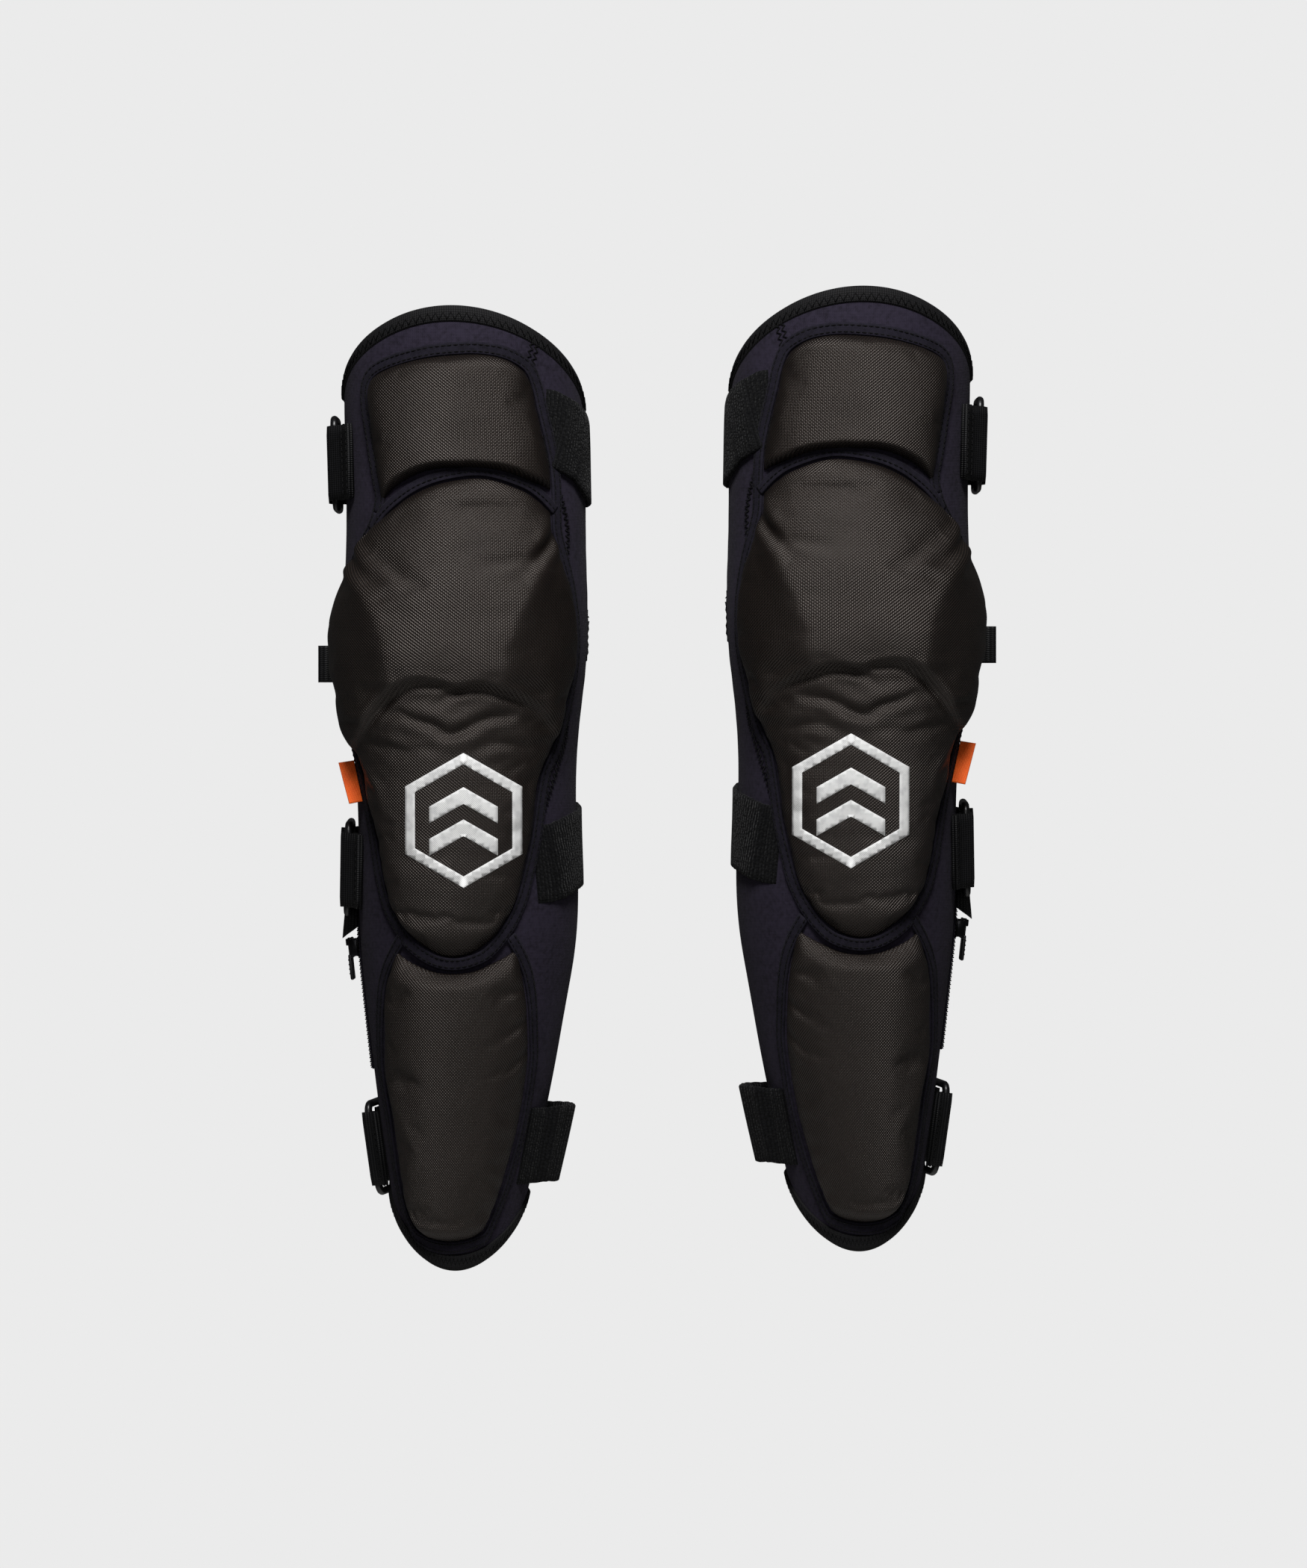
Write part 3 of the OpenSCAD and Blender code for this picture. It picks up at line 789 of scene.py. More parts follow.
kneeShape = {
    "rise": [(-168, 4.5), (-150, 7), (-120, 9.5), (-90, 10.5), (-64, 9.5), (-40, 10.5), (-14, 13), (18, 13),
             (46, 10), (66, 6.5), (80, 4.0)],
    "ridge": [(-40, 0), (-22, 3.0), (4, 5.4), (26, 5.4), (44, 2.6), (62, 0)],
    "ridgeHalf": [(-40, 22), (-9, 25), (7, 29), (31, 39), (60, 43)],
    "cup": [(-56, -64), (-51.6, -59.4), (-42.8, -48.2), (-33.2, -33.7), (-23.5, -26.5), (-15.5, -25.0),
            (-8, -26.2), (-3.4, -29.4), (2.4, -29.0), (11.8, -28.2),
            (24.7, -32.1), (37.5, -38.5), (45.6, -49.8), (53, -60)],
    "cupStep": 2.6,
}
kneeCreases = [
    Crease([(-51.5, 41.5), (-44.4, 32.8), (-39.6, 28.8), (-26.7, 22.8)], 2.5, 2.8, 1.0),
    Crease([(49.8, 54.5), (40, 42), (32.7, 34.4), (28.7, 30.3), (17.5, 26.6)], 2.6, 2.8, 1.0),
    Crease([(-30, 36), (-22, 27), (-12, 23.5)], 1.0, 2.8, 0.5, False),
    Crease([(33, 40), (22, 35.5), (12, 36)], 0.9, 2.8, 0.4, False),
    Crease([(-36, 15), (-28, 19.5), (-17, 21)], 0.8, 2.4, 0.4, False),
    Crease([(-9.5, -36.5), (-5.9, -33.2), (0.6, -30.2), (11.8, -29.6), (26, -33.6), (38, -40.5)], 1.7, 1.7,
           0.8, False),
    Crease([(-46, -53.5), (-33.2, -36.2), (-23.5, -28.6), (-14, -26.8), (-2.7, -28.6), (4, -33)], 1.6, 1.7,
           0.7, False),
    Crease([(-27, -43), (-12.3, -46.8), (-2.6, -51.6), (15, -43.4), (27, -46)], 1.3, 2.4, 0.8, False),
    Crease([(-38, -57), (-22, -60.5), (-6, -58)], 0.8, 2.6, 0.5, False),
    Crease([(6, -60), (20, -56), (36, -60)], 0.8, 2.6, 0.5, False),
    Crease([(-47, -72), (-40, -84), (-39, -97)], 0.8, 2.4, 0.4, False),
    Crease([(34, -72), (33, -90), (27, -104)], 0.6, 2.8, 0.4, False),
    Crease([(-30, -113), (-14, -116), (-2, -112)], 0.5, 3.0, 0.3, False),
]


def kneeHeight(flat, u, v, full):
    s, z = flat
    x = skin(z, math.degrees(s / guard["round"]), 4).x
    h = smoothBetween(kneeShape["rise"], z) * (1 - 0.5 * abs(2 * u - 1) ** 3.2)
    half, ridge = straightBetween(kneeShape["ridgeHalf"], z), smoothBetween(kneeShape["ridge"], z)
    off = abs(x + 4.5) - half
    h += ridge * (min(1.0, abs(x + 4.5) / half) ** 2 if off < 0 else math.exp(-(off / 9.5) ** 2))
    above = (z - straightBetween(kneeShape["cup"], x)) * 0.8
    if abs(x + 3) < 56:
        h += kneeShape["cupStep"] * (ease((above + 1.5) / 4.5) * (1 - ease((above - 6) / 26))
                                     - 0.4 * hump(above, -3.5, 5))
    wrinkled = hump(z, -50, 20) * 1.15 + hump(z, -18, 16) * 0.35 + hump(z, -110, 34) * 0.35 + 0.15
    h += wrinkled * noise.noise(Vector((s / 24, z / 8.5 + 0.35 * s / 24, 2.3)))
    h += 0.5 * wrinkled * noise.noise(Vector((s / 10, z / 5.5, 7.1)))
    h += sum(crease.at(flat) for crease in kneeCreases)
    return 1.0 + max(0.0, h) * full


def thighHeight(flat, u, v, full):
    bulge = 8.0 * (1 - 0.35 * (2 * u - 1) ** 2) * (1 - 0.12 * v)
    droop = (0.9 * noise.noise(Vector((flat.x / 30, flat.y / 16, 4.4)))
             + 0.25 * noise.noise(Vector((flat.x / 7, flat.y / 22, 1.4))))
    return 1.0 + (bulge + droop) * full


shinCreases = [
    Crease([(36.5, -197), (29, -203), (20, -210)], 1.1, 2.2, 0.7),
    Crease([(37, -213), (30, -220), (23, -229)], 0.9, 2.2, 0.6),
    Crease([(35, -183), (27, -184), (18, -188)], 0.9, 2.4, 0.5),
    Crease([(21, -287), (13, -281), (4, -279)], 0.5, 2.6, 0.3),
]


def shinHeight(flat, u, v, full):
    bulge = 8.0 * (1 - 0.3 * (2 * u - 1) ** 2) * mix(0.85, 1.0, v)
    bulge += (0.6 * noise.noise(Vector((flat.x / 26, flat.y / 30, 9.2)))
              + 0.2 * noise.noise(Vector((flat.x / 8, flat.y / 12, 5.5))))
    return 1.0 + (bulge + sum(crease.at(flat) for crease in shinCreases)) * full


kneeCover = panelMesh(kneePanel, 76, 144, kneeHeight, kneeCreases[:2] + kneeCreases[5:7], pressure=3.0,
                      growth=0.012, most=2.2)
thighCover = panelMesh(thighPanel, 60, 46, thighHeight, pressure=5.0, growth=0.01, most=2.0)
shinCover = panelMesh(shinPanel, 52, 84, shinHeight, pressure=5.0, growth=0.01, most=2.0)
kneeForm = BVHTree.FromBMesh(kneeCover)
addPair("KneeCover", kneeCover, finishes["twill"], bend="knee", wall=1.4, rounds=1,
        stands=("knee_cover", "knee_insert", "tibia_cover", "tibia_insert"))
addPair("ThighCover", thighCover, finishes["twill"], body="thigh", wall=1.4, rounds=1,
        stands=("thigh_cover", "thigh_foam"))
addPair("ShinCover", shinCover, finishes["twill"], body="shin", wall=1.4, rounds=1,
        stands=("shin_cover", "shin_foam"))
print("pads made")


# ---- tapes that bind the pads to the sleeve, with their stitching
tape = {"half": 3.3, "low": 0.1, "high": 1.6, "rows": (-1.7, 1.8), "uneven": 0.22}
padLoop = [(-44.0, 62), (-42.5, 71), (-45, 84), (-48, 102), (-50.6, 119), (-50.2, 129), (-45.6, 135.6),
           (-35, 140.3), (-18, 144.4), (0, 146.2),
           (14, 146.1), (27, 143.4), (37.6, 137), (42.4, 127), (45, 115.6), (48.6, 101.4), (51.6, 86.4),
            (52.8, 74), (52.8, 62), (53.4, 52),
           (56, 41.5), (59.6, 28.5), (62.4, 12), (63.2, -3), (62.4, -18.5), (58.4, -39), (53.2, -58.4),
            (47.8, -70.4), (45, -84), (42.3, -103.4),
           (38, -123), (34.1, -136.4), (27.6, -149.6), (17, -162.4), (8, -167.6), (-2.6, -169.6),
            (-13.6, -167.4), (-25.4, -159.8),
           (-32.7, -151.2), (-39.3, -139.2), (-43.6, -122.8), (-46.7, -105), (-50.7, -84.2),
            (-55.3, -65.6), (-60.6, -49.6),
           (-64.2, -35), (-65.6, -16), (-65.4, 1.6), (-62.6, 21.6), (-57.8, 34.8), (-52, 46), (-47, 54.5)]
shinEdge = [(-31.0, -156), (-36.2, -164.5), (-40.4, -174), (-42.8, -185), (-43.7, -205), (-43.1, -226.4),
            (-39.2, -250.8), (-33.8, -288), (-26.2, -307.8), (-20.4, -313), (-13.8, -315.6), (-5, -316.5),
            (3.2, -315.6), (10.4, -313.4), (16.4, -309), (24.9, -289.6), (31.6, -268.8), (36.2, -250.6),
            (40.5, -222.4), (40.7, -205), (39.7, -187), (37.6, -175), (34.0, -165.5), (28.0, -155)]


def bandSection(half, low, high, across=6, soft=0.35):  # a flat band's section, its long faces first
    top = [(mix(-half, half, i / across), high) for i in range(across + 1)]
    bottom = [(mix(half, -half, i / across), low) for i in range(across + 1)]
    top[0], top[-1] = (-half + soft * 0.4, high - soft), (half - soft * 0.4, high - soft)
    bottom[0], bottom[-1] = (half - soft * 0.4, low + soft), (-half + soft * 0.4, low + soft)
    return (top[:1] + [(-half + soft * 1.6, high)] + top[1:-1] + [(half - soft * 1.6, high)]
            + top[-1:] + bottom)


def tapeRise(p):
    return 1.5 * hump(p.y, -168, 14) * (1 if abs(p.x) < 34 else 0)


padLine = flatLine(padLoop, True)
padTape = bandSection(tape["half"], tape["low"], tape["high"])
addPair("PadTape", bandOnLeg(padLine, padTape, 420, tapeRise, tape["uneven"]), finishes["tape"],
        bend="knee", stands=("thigh_border",))
archLine = flatLine([(-46.5, 53.5), (-39.8, 63.2), (-24.8, 74.6), (-8, 80.8), (13.2, 83), (33.8, 77.4),
                     (43.6, 71.6), (51.5, 63.5)])
addPair("ArchTape", bandOnLeg(archLine, bandSection(2.7, 0.1, 1.5), 110, lambda spot: 0.5, tape["uneven"]),
        finishes["tape"], bend="knee")
shinLine = flatLine(shinEdge)
addPair("ShinTape", bandOnLeg(shinLine, padTape, 200, uneven=tape["uneven"]), finishes["tape"],
        body="shin", stands=("shin_borders",))

padRows = [path for row in tape["rows"]
           for path in stitches(padLine, row, lambda p: tape["high"] + 0.3 + tapeRise(p), step=3.0,
                                stitch=2.2)]
addPair("PadStitch", threadMesh(padRows, 0.32), finishes["thread"], bend="knee")
addPair("ArchStitch", threadMesh(stitches(archLine, 0.4, 2.3, step=3.0, stitch=2.2), 0.32),
        finishes["thread"], bend="knee")
shinRows = [path for row in tape["rows"]
            for path in stitches(shinLine, row, tape["high"] + 0.3, step=3.0, stitch=2.2)]
addPair("ShinStitch", threadMesh(shinRows, 0.32), finishes["thread"], body="shin")

flatlock = {"swing": 1.6, "step": 1.7, "radius": 0.45}
upperSeam = flatLine([(57.4, 72), (59.8, 62), (61, 52), (60.8, 39), (60.6, 26), (61.5, 8), (62.5, -12)])
lowerSeam = flatLine([(62.5, -14), (62, -30.5), (60.8, -43.4), (59.2, -56.2), (55.1, -70.6), (51.2, -83.5),
                      (48, -94)])
hemSeam = flatLine([(41.4, 149), (40, 143), (38.2, 136)])
seamPaths = [p for line in (upperSeam, lowerSeam)
             for p in stitches(line, 3.4, 0.55, step=flatlock["step"], swing=flatlock["swing"])]
addPair("SideSeam", threadMesh(seamPaths, flatlock["radius"]), finishes["thread"], bend="knee")
hemPaths = [p for aside in (-1.6, 1.6) for p in stitches(hemSeam, aside, 0.5, step=1.7, swing=1.2)]
addPair("HemSeam", threadMesh(hemPaths, flatlock["radius"]), finishes["thread"], body="thigh")
print("tapes and seams made")


# ---- elastic straps
strap = {"half": 20, "thick": 2.2, "route": {
    "Thigh": [(42, 106.5, -2.0), (50, 105, -1.2), (57, 102, 0.7), (70, 97, 0.9), (90, 87.5, 0.8),
              (150, 85, 0.8), (232, 87, 0.8)],
    "Calf": [(38, -119, -2.0), (46, -118, -1.0), (53, -116.5, 0.7), (70, -112, 0.9), (90, -109, 0.8),
             (150, -101, 0.8), (210, -110, 0.8), (232, -115.5, 0.8)],
    "Ankle": [(55, -264, -2.0), (60, -264, -0.8), (66, -264, 1.2), (78, -263, 8), (90, -263, 12.8),
              (108, -262, 12.4), (135, -262, 6), (165, -262, 1.0), (222, -263.8, 0.9)]}}


def strapBand(route, section, columns):
    line = Line([Vector((math.radians(t) * guard["round"], z)) for t, z, h in route])
    turns = [math.radians(t) * guard["round"] for t, z, h in route]
    n = len(section)

    def placeAt(u, v):
        d = u * line.length
        spot, way = line.at(d), line.heading(d)
        aside, h = section[round(v * n) % n]
        lift = smoothBetween([(s, r[2]) for s, r in zip(turns, route)], spot.x)
        ripple = 0.14 * math.sin(d / 1.15) if abs(aside) > 19.4 else 0.0
        return onFlat(spot.x + way.y * (aside + ripple), spot.y - way.x * (aside + ripple),
                      h + lift)[0], (d * 0.001, aside * 0.001)
    return gridPiece(columns, n, placeAt, False, True, True)


for part, body in (("Thigh", "thigh"), ("Calf", "shin"), ("Ankle", "shin")):
    band = strapBand(strap["route"][part], bandSection(strap["half"], 0, strap["thick"], 10, 0.5), 110)
    addPair(part + "Strap", band, finishes["loopPile"], body=body,
            stands=(part.lower() + "_strap",))


# ---- plastic rings, the webbing that holds them and the straps' tails
ring = {"halfLong": 23, "halfPitch": 11, "corner": 4.5, "radius": 2.0, "bandThick": 1.5, "wrap": 2.95,
        "lead": {"Thigh": 230, "Calf": 230, "Ankle": 220},
        "tailEnd": {"Thigh": -148, "Calf": -148, "Ankle": -166},
        "tabEnd": {"Thigh": -66, "Calf": -70, "Ankle": -84}}


class RingPlace:  # the frame of one ring: x towards the front, z up along its bars, -y away from the leg
    def __init__(self, part):
        swing = joints["left_" + part.lower() + "_ring_swing"]
        peel = joints["left_" + part.lower() + "_tail_peel"]
        self.fixed, self.moving = toGuard @ Vector(swing["pos_m"]), toGuard @ Vector(peel["pos_m"])
        self.up = Vector(swing["axis"]).normalized()
        if self.up.z < 0:
            self.up.negate()
        self.fore = (self.fixed - self.moving).normalized()
        self.into = self.up.cross(self.fore)
        self.middle = (self.fixed + self.moving) / 2

    def at(self, x, y, z):
        return self.middle + self.fore * x + self.into * y + self.up * z

    def across(self, p):  # the place of a point on the leg, in the ring's x and y
        d = p - self.middle
        return d.dot(self.fore), d.dot(self.into)


def closedTube(points, radius, sides):
    n = len(points)
    middle = sum(points, Vector()) / n

    def placeAt(u, v):
        i = round(u * n) % n
        way = (points[(i + 1) % n] - points[i - 1]).normalized()
        outward = points[i] - middle
        outward = (outward - way * outward.dot(way)).normalized()
        side = way.cross(outward)
        a = 2 * math.pi * v
        return points[i] + outward * math.cos(a) * radius + side * math.sin(a) * radius, (u * 0.15, v * 0.012)
    return gridPiece(n, sides, placeAt, True, True, True)


def ringLoop(place):
    points, r = [], ring["corner"]
    for cx, cz, start in ((1, 1, 0), (-1, 1, 90), (-1, -1, 180), (1, -1, 270)):
        for k in range(9):
            a = math.radians(start + 11.25 * k)
            x = cx * (ring["halfPitch"] - r) + r * math.cos(a)
            z = cz * (ring["halfLong"] - r) + r * math.sin(a)
            points.append(place.at(x, 0, z))
        if cx == cz:
            points += [place.at(mix(1, -1, k / 4) * cx * (ring["halfPitch"] - r), 0, cz * ring["halfLong"])
                       for k in (1, 2, 3)]
        else:
            points += [place.at(cx * ring["halfPitch"], 0, mix(1, -1, k / 9) * cz * (ring["halfLong"] - r))
                       for k in range(1, 9)]
    return points


# a flat band along a line in a ring's x and y, as wide as its bars are long
def bentBand(place, path, half, thick):
    line = Line([Vector((x, y, 0)) for x, y in path], dense=6)
    section = bandSection(half, -thick / 2, thick / 2, 8, 0.3)
    n = len(section)

    def placeAt(u, v):
        d = u * line.length
        spot, way = line.at(d), line.heading(d)
        aside, h = section[round(v * n) % n]
        ripple = 0.1 * math.sin(d / 0.9) if abs(aside) > half - 0.6 else 0.0
        return place.at(spot.x + way.y * h, spot.y - way.x * h, aside + ripple), (d * 0.001, aside * 0.001)
    return gridPiece(max(24, round(line.length / 0.9)), n, placeAt, False, True, True)


def wrap(centre, start, end, steps=7):  # round a bar, between two directions in degrees
    turns = [math.radians(mix(start, end, k / steps)) for k in range(steps + 1)]
    return [(centre + ring["wrap"] * math.cos(t), ring["wrap"] * math.sin(t)) for t in turns]


for part, body in (("Thigh", "thigh"), ("Calf", "shin"), ("Ankle", "shin")):
    place, low = RingPlace(part), part.lower()
    z0 = place.middle.z
    turn0 = turnOf(place.middle)
    addPair(part + "Ring", closedTube(ringLoop(place), ring["radius"], 14), finishes["ringPlastic"],
            body=low + "_ring", stands=(low + "_ring",))

    tabEnd = ring["tabEnd"][part]
    spread = [mix(tabEnd, turn0 + math.degrees((ring["halfPitch"] + 7) / 60), k / 3) for k in range(4)]
    upper = [place.across(skin(z0, t, 3.1)) for t in spread]
    lower = [place.across(skin(z0, t, 1.4)) for t in reversed(spread)]
    path = upper + wrap(ring["halfPitch"], -75, -285) + lower
    addPair(part + "RingTab", bentBand(place, path, 19.4, ring["bandThick"]), finishes["webbing"],
            body=body,
            stands=("thigh_ring_tab",) if part == "Thigh" else ("shin_ring_tabs",) if part == "Calf" else ())
    boxStitch = []
    for x in (-1, 1):
        for k in range(11):
            t = mix(tabEnd - 1, tabEnd - 7, (x + 1) / 2)
            a = place.across(skin(z0, t, 4.1))
            boxStitch.append([place.at(a[0], a[1], -17 + 3.2 * k),
                              place.at(a[0], a[1] - 0.3, -15.8 + 3.2 * k),
                              place.at(a[0], a[1], -14.6 + 3.2 * k)])
    addPair(part + "TabStitch", threadMesh(boxStitch, 0.28), finishes["thread"], body=body)

    leadTurn = ring["lead"][part] - 360
    lead = [place.across(skin(z0, t, 2.0)) for t in (leadTurn + 1, leadTurn + 4)]
    lead += wrap(-ring["halfPitch"], 130, -90, 9)
    lead.append((-ring["halfPitch"] - 4.5, -ring["wrap"]))  # a short stub under the tail
    leadFrom, leadTo = skin(z0, leadTurn + 5, 2.0), place.at(-ring["halfPitch"] - 3.4, 1, 0)
    addPair(part + "StrapLead", bentBand(place, lead, 19.6, ring["bandThick"]), finishes["webbing"],
            bend=(body, low + "_ring", leadFrom, leadTo))

    tailEnd = ring["tailEnd"][part]
    firstTurn = turn0 - math.degrees((ring["halfPitch"] + 13) / 60)
    tail = [(-ring["halfPitch"] - 1.6, -ring["wrap"] - 1.65), (-ring["halfPitch"] - 4.0, -ring["wrap"] - 1.6)]
    tail += [place.across(skin(z0, mix(firstTurn, tailEnd, k / 5), 5.0)) for k in range(6)]
    addPair(part + "StrapTail", bentBand(place, tail, 19.2, ring["bandThick"] + 0.2), finishes["loopPile"],
            body=low + "_tail", stands=(low + "_strap_tail",))
print("straps and rings made")


# ---- zip on the outside of the calf
zipPart = {"at": -98, "tape": 9, "tooth": 2.0}
slide, pullSwing = joints["left_zip_slide"], joints["left_zip_pull_swing"]
down = Vector(slide["axis"]).normalized()
if down.z > 0:
    down.negate()
pin = toGuard @ Vector(pullSwing["pos_m"])
bottomZ, topZ = [(toGuard @ corner).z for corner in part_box("left_zip_chain")]
radial = (skin(pin.z, zipPart["at"], 8) - skin(pin.z, zipPart["at"], 0)).normalized()
outwards = (radial - down * radial.dot(down)).normalized()
aside = down.cross(outwards)
zipLine = Line([Vector((math.radians(zipPart["at"]) * guard["round"], z))
                for z in (topZ, (topZ + bottomZ) / 2, bottomZ)])
tapes = [bandOnLeg(zipLine, [(sign * 1.2, 0.2), (sign * 1.2, 0.9), (sign * 4, 1.0),
                             (sign * zipPart["tape"], 0.8), (sign * zipPart["tape"], 0.2),
                             (sign * 4, 0.1)], 60)
         for sign in (-1, 1)]
addPair("ZipTapes", joined(*tapes), finishes["tape"], body="shin", stands=("zip_chain",))


# plain: few faces, for shapes repeated many times
def box(origin, right, ahead, up, size, bevel, plain=False):
    bm = bmesh.new()
    bmesh.ops.create_cube(bm, size=1)
    bmesh.ops.scale(bm, vec=size, verts=bm.verts)
    edges = [e for e in bm.edges if not plain or abs(e.verts[0].co.x - e.verts[1].co.x) > 0.1]
    bmesh.ops.bevel(bm, geom=edges, offset=bevel, affect="EDGES", segments=1 if plain else 2, profile=0.5,
                    material=-1)
    turn = Matrix((right, ahead, up)).transposed().to_4x4()
    bmesh.ops.transform(bm, matrix=Matrix.Translation(origin) @ turn, verts=bm.verts)
    return bm


teeth = []
toothCount = int((topZ - bottomZ) / (zipPart["tooth"] / 2))
for i in range(toothCount):
    z = topZ - 1 - i * zipPart["tooth"] / 2
    sign = 1 if i % 2 else -1
    teeth.append(box(skin(z, zipPart["at"] + sign * 0.9, 1.35), aside, outwards, down, (3.4, 1.3, 0.8),
                     0.25, True))
addPair("ZipTeeth", joined(*teeth), finishes["zipCoil"], body="shin")
sliderMiddle = pin - outwards * 1.0 + down * 3.2
sliderParts = [box(sliderMiddle - outwards * 0.2, aside, outwards, down, (8.2, 1.5, 10.5), 0.6),
               box(sliderMiddle - outwards * 3.6, aside, outwards, down, (6.0, 1.0, 10.0), 0.4)]
sliderParts += [box(sliderMiddle - outwards * 1.9 + aside * s * 4.4, aside, outwards, down, (0.9, 3.6, 8.6),
                    0.35) for s in (-1, 1)]
sliderParts += [box(pin - outwards * 0.2 + aside * s * 2.9, aside, outwards, down, (1.1, 3.0, 3.6), 0.45)
                for s in (-1, 1)]
addPair("ZipSlider", joined(*sliderParts), finishes["zipEnamel"], body="zip_slider",
        stands=("zip_slider",))
pullParts = [box(pin, aside, outwards, down, (5.0, 1.4, 1.4), 0.4),
             box(pin + down * 4.0, aside, outwards, down, (3.2, 1.2, 7.0), 0.45),
             box(pin + down * 13.2, aside, outwards, down, (6.2, 1.9, 13.4), 0.8)]
pullParts += [box(pin + down * (9.4 + 2.4 * k) + outwards * 0.9, aside, outwards, down, (4.6, 0.7, 1.0),
                  0.28) for k in range(4)]
addPair("ZipPull", joined(*pullParts), finishes["zipCoil"], body="zip_pull", stands=("zip_pull",))
zipTab = {"turn": -95, "high": 17, "wide": 8.5, "drop": 7, "above": 16}


def zipTabSpot(u, v):
    z = topZ + zipTab["above"] - v * zipTab["high"]
    root = skin(z, zipTab["turn"], 0.3)
    return root + Vector((-zipTab["wide"] * u * mix(0.75, 1, v), -1.6 * math.sin(2.6 * u),
                          -zipTab["drop"] * u)), (u * 0.0085, v * 0.017)


addPair("ZipTopTab", gridPiece(12, 18, zipTabSpot), finishes["webbing"], body="shin", wall=1.1)

# ---- small side loop by the knee's back panel, and the blank label
sideTab = {"turn": -94, "z": -15, "half": 9.5, "stand": 13.0}
loopPath = [skin(sideTab["z"], sideTab["turn"] + 3, 1.0),
            skin(sideTab["z"], sideTab["turn"] + 1.6, sideTab["stand"] * 0.75),
            skin(sideTab["z"], sideTab["turn"], sideTab["stand"]),
            skin(sideTab["z"], sideTab["turn"] - 1.6, sideTab["stand"] * 0.75),
            skin(sideTab["z"], sideTab["turn"] - 3, 1.0)]
tabLine = Line(loopPath)


def loopSpot(u, v):
    middle = tabLine.at(u * tabLine.length)
    return middle + Vector((0, 0, (2 * v - 1) * sideTab["half"])), (u * 0.016, v * 0.019)


addPair("SideLoop", gridPiece(26, 12, loopSpot), finishes["webbing"], bend="knee", wall=1.0)
label = {"top": (-54.6, -64.8), "bottom": (-49.8, -85.8), "wide": 7.8}


def labelSpot(u, v):
    x = mix(label["bottom"][0], label["top"][0], v) - label["wide"] * (1 - u) * mix(0.85, 1, v)
    z = mix(label["bottom"][1], label["top"][1], v) - 1.2 * (1 - u)
    inner = skin(z, turnAt(x + label["wide"] * (1 - u), z, 2), 1.9)
    return Vector((x, inner.y + 0.8 * math.sin(u * 3.2) + 2.5 * (1 - u), z)), (u * 0.0084, v * 0.021)


addPair("Label", gridPiece(14, 26, labelSpot), finishes["labelCloth"], bend="knee",
        stands=("label",), wall=0.7)
print("zip, tabs and label made")


# ---- printed mark: a plain outlined hexagon with two chevrons
mark = {"at": (3.0, -95.6), "half": 34.5, "line": 5.2, "step": 2.2, "proud": 0.22}


def inkShape(outline):
    bm = bmesh.new()
    corners = [bm.verts.new((mark["at"][0] + x, -150, mark["at"][1] + z)) for x, z in outline]
    bm.faces.new(corners)
    return bm


def inkRing():
    bm = bmesh.new()
    for radius in (mark["half"], mark["half"] - mark["line"] * 1.12):
        bmesh.ops.create_circle(bm, segments=6, radius=radius)
    bmesh.ops.bridge_loops(bm, edges=bm.edges[:])
    upright = Matrix.Rotation(math.radians(90), 4, "X")
    bmesh.ops.transform(bm, matrix=Matrix.Translation((mark["at"][0], -150, mark["at"][1])) @ upright,
                        verts=bm.verts)
    return bm


def chevron(z, reach, drop, thick):
    return [(-reach, z - drop), (0, z), (reach, z - drop), (reach, z - drop - thick), (0, z - thick),
            (-reach, z - drop - thick)]


ink = joined(inkRing(), inkShape(chevron(17, 17.5, 10, 8.5)), inkShape(chevron(0.5, 17.5, 10, 8.5)))
for k in range(-18, 19):
    for normal in ((1, 0, 0), (0, 0, 1)):
        where = Vector((mark["at"][0] + k * mark["step"], 0, mark["at"][1] + k * mark["step"]))
        bmesh.ops.bisect_plane(ink, geom=ink.verts[:] + ink.edges[:] + ink.faces[:], plane_co=where,
                               plane_no=normal)
bmesh.ops.triangulate(ink, faces=[f for f in ink.faces if len(f.verts) > 4])
inkUv = ink.loops.layers.uv.verify()
for face in ink.faces:
    for loop in face.loops:
        loop[inkUv].uv = (loop.vert.co.x * 0.001, loop.vert.co.z * 0.001)
for v in ink.verts:
    hit, normal, index, distance = kneeForm.ray_cast(Vector((v.co.x, -200, v.co.z)), Vector((0, 1, 0)))
    v.co = hit + normal * (mark["proud"] if normal.y < 0 else -mark["proud"])
facesOut(ink)
addPair("Mark", ink, finishes["printInk"], bend="knee", wall=0.2)
print("mark made")


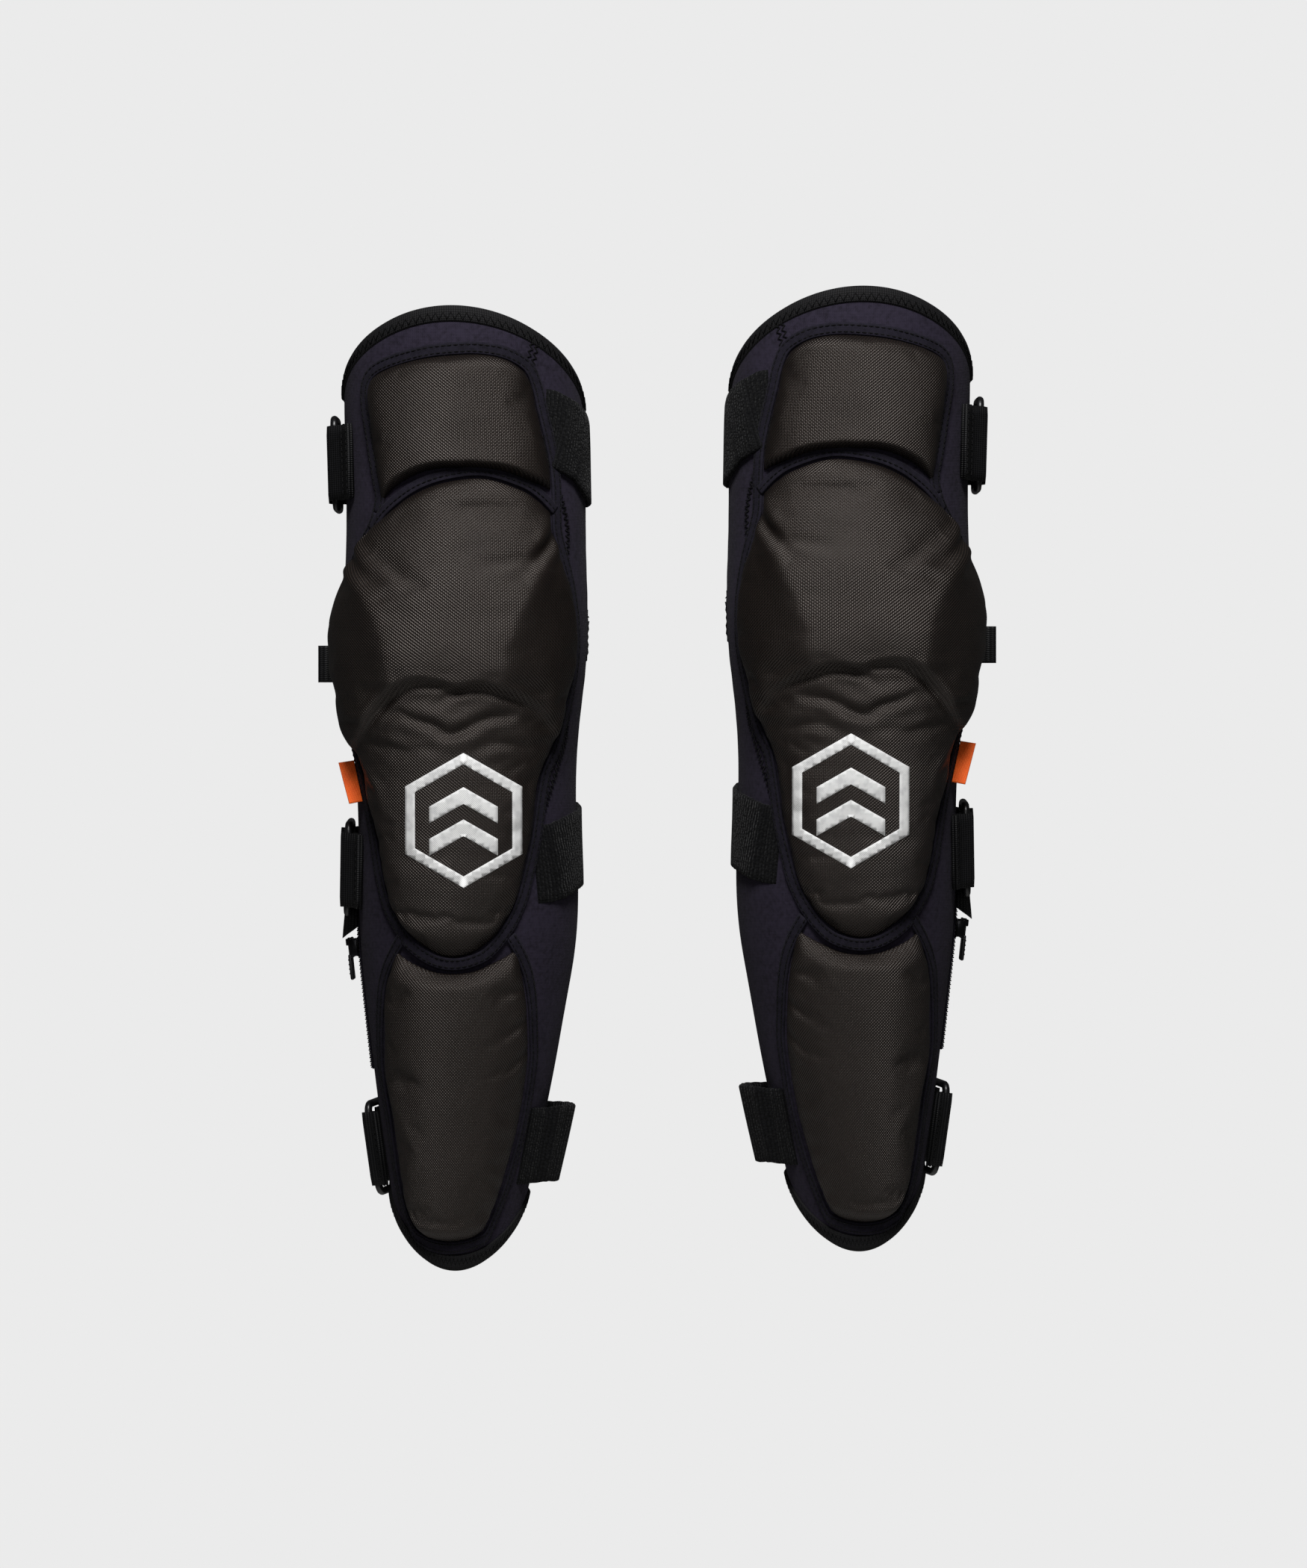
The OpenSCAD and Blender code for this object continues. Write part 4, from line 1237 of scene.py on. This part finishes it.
# ---- floor, light and camera
studio = {"wall": 0.831, "fill": 0.05, "floorZ": -0.72, "floorHalf": 1.4, "fade": (0.5, 1.35)}
bm = bmesh.new()
bmesh.ops.create_grid(bm, x_segments=1, y_segments=1, size=studio["floorHalf"])
bmesh.ops.translate(bm, verts=bm.verts, vec=(0, 0, studio["floorZ"]))
floorMesh = bpy.data.meshes.new("floor")
bm.to_mesh(floorMesh)
floor = bpy.data.objects.new("floor", floorMesh)
scene.collection.objects.link(floor)
paper = Finish("floorPaper", Roughness=0.8)
paper.shader.inputs["Base Color"].default_value = tone(226, 225, 223)
away = paper.node("VectorMath", {"operation": "LENGTH"}, output=1, i0=paper.place())
paper.put(paper.shader.inputs["Alpha"], paper.clip(away, *studio["fade"], 1.0, 0.0))
floorMesh.materials.append(paper.material)

world = bpy.data.worlds.new("studio")
scene.world = world
world.use_nodes = True
tree = world.node_tree
path, pick = tree.nodes.new("ShaderNodeLightPath"), tree.nodes.new("ShaderNodeMix")
pick.data_type = "RGBA"
pick.inputs[6].default_value = (studio["fill"],) * 3 + (1,)
pick.inputs[7].default_value = (studio["wall"],) * 3 + (1,)
tree.links.new(path.outputs["Is Camera Ray"], pick.inputs[0])
tree.links.new(pick.outputs[2], tree.nodes["Background"].inputs["Color"])

# name, place, aim, width, height and power
lamps = [("key", (0.0, -1.45, 1.5), (0.0, 0.0, 0.04), 0.8, 0.6, 54.0),
         ("front", (0.0, -2.6, 0.3), (0, 0, -0.1), 0.45, 0.6, 5.2),
         ("back", (0.0, 2.3, 0.9), (0, 0, -0.1), 1.6, 1.0, 30.0)]
for name, place, target, wide, high, power in lamps:
    lamp = bpy.data.lights.new(name, "AREA")
    lamp.shape, lamp.size, lamp.size_y, lamp.energy = "RECTANGLE", wide, high, power
    holder = bpy.data.objects.new(name, lamp)
    holder.location = place
    holder.visible_glossy = name != "back"
    holder.rotation_euler = (Vector(target) - Vector(place)).to_track_quat("-Z", "Y").to_euler()
    scene.collection.objects.link(holder)

shot = {"place": (-0.0019, -6.0, -0.082), "lens": 266.8}
camera = bpy.data.objects.new("camera", bpy.data.cameras.new("camera"))
camera.location = shot["place"]
camera.rotation_euler = (math.radians(90), 0, 0)
camera.data.lens = shot["lens"]
camera.data.sensor_width = 36
camera.data.clip_end = 20
scene.collection.objects.link(camera)
scene.camera = camera
scene.view_settings.view_transform = "Standard"
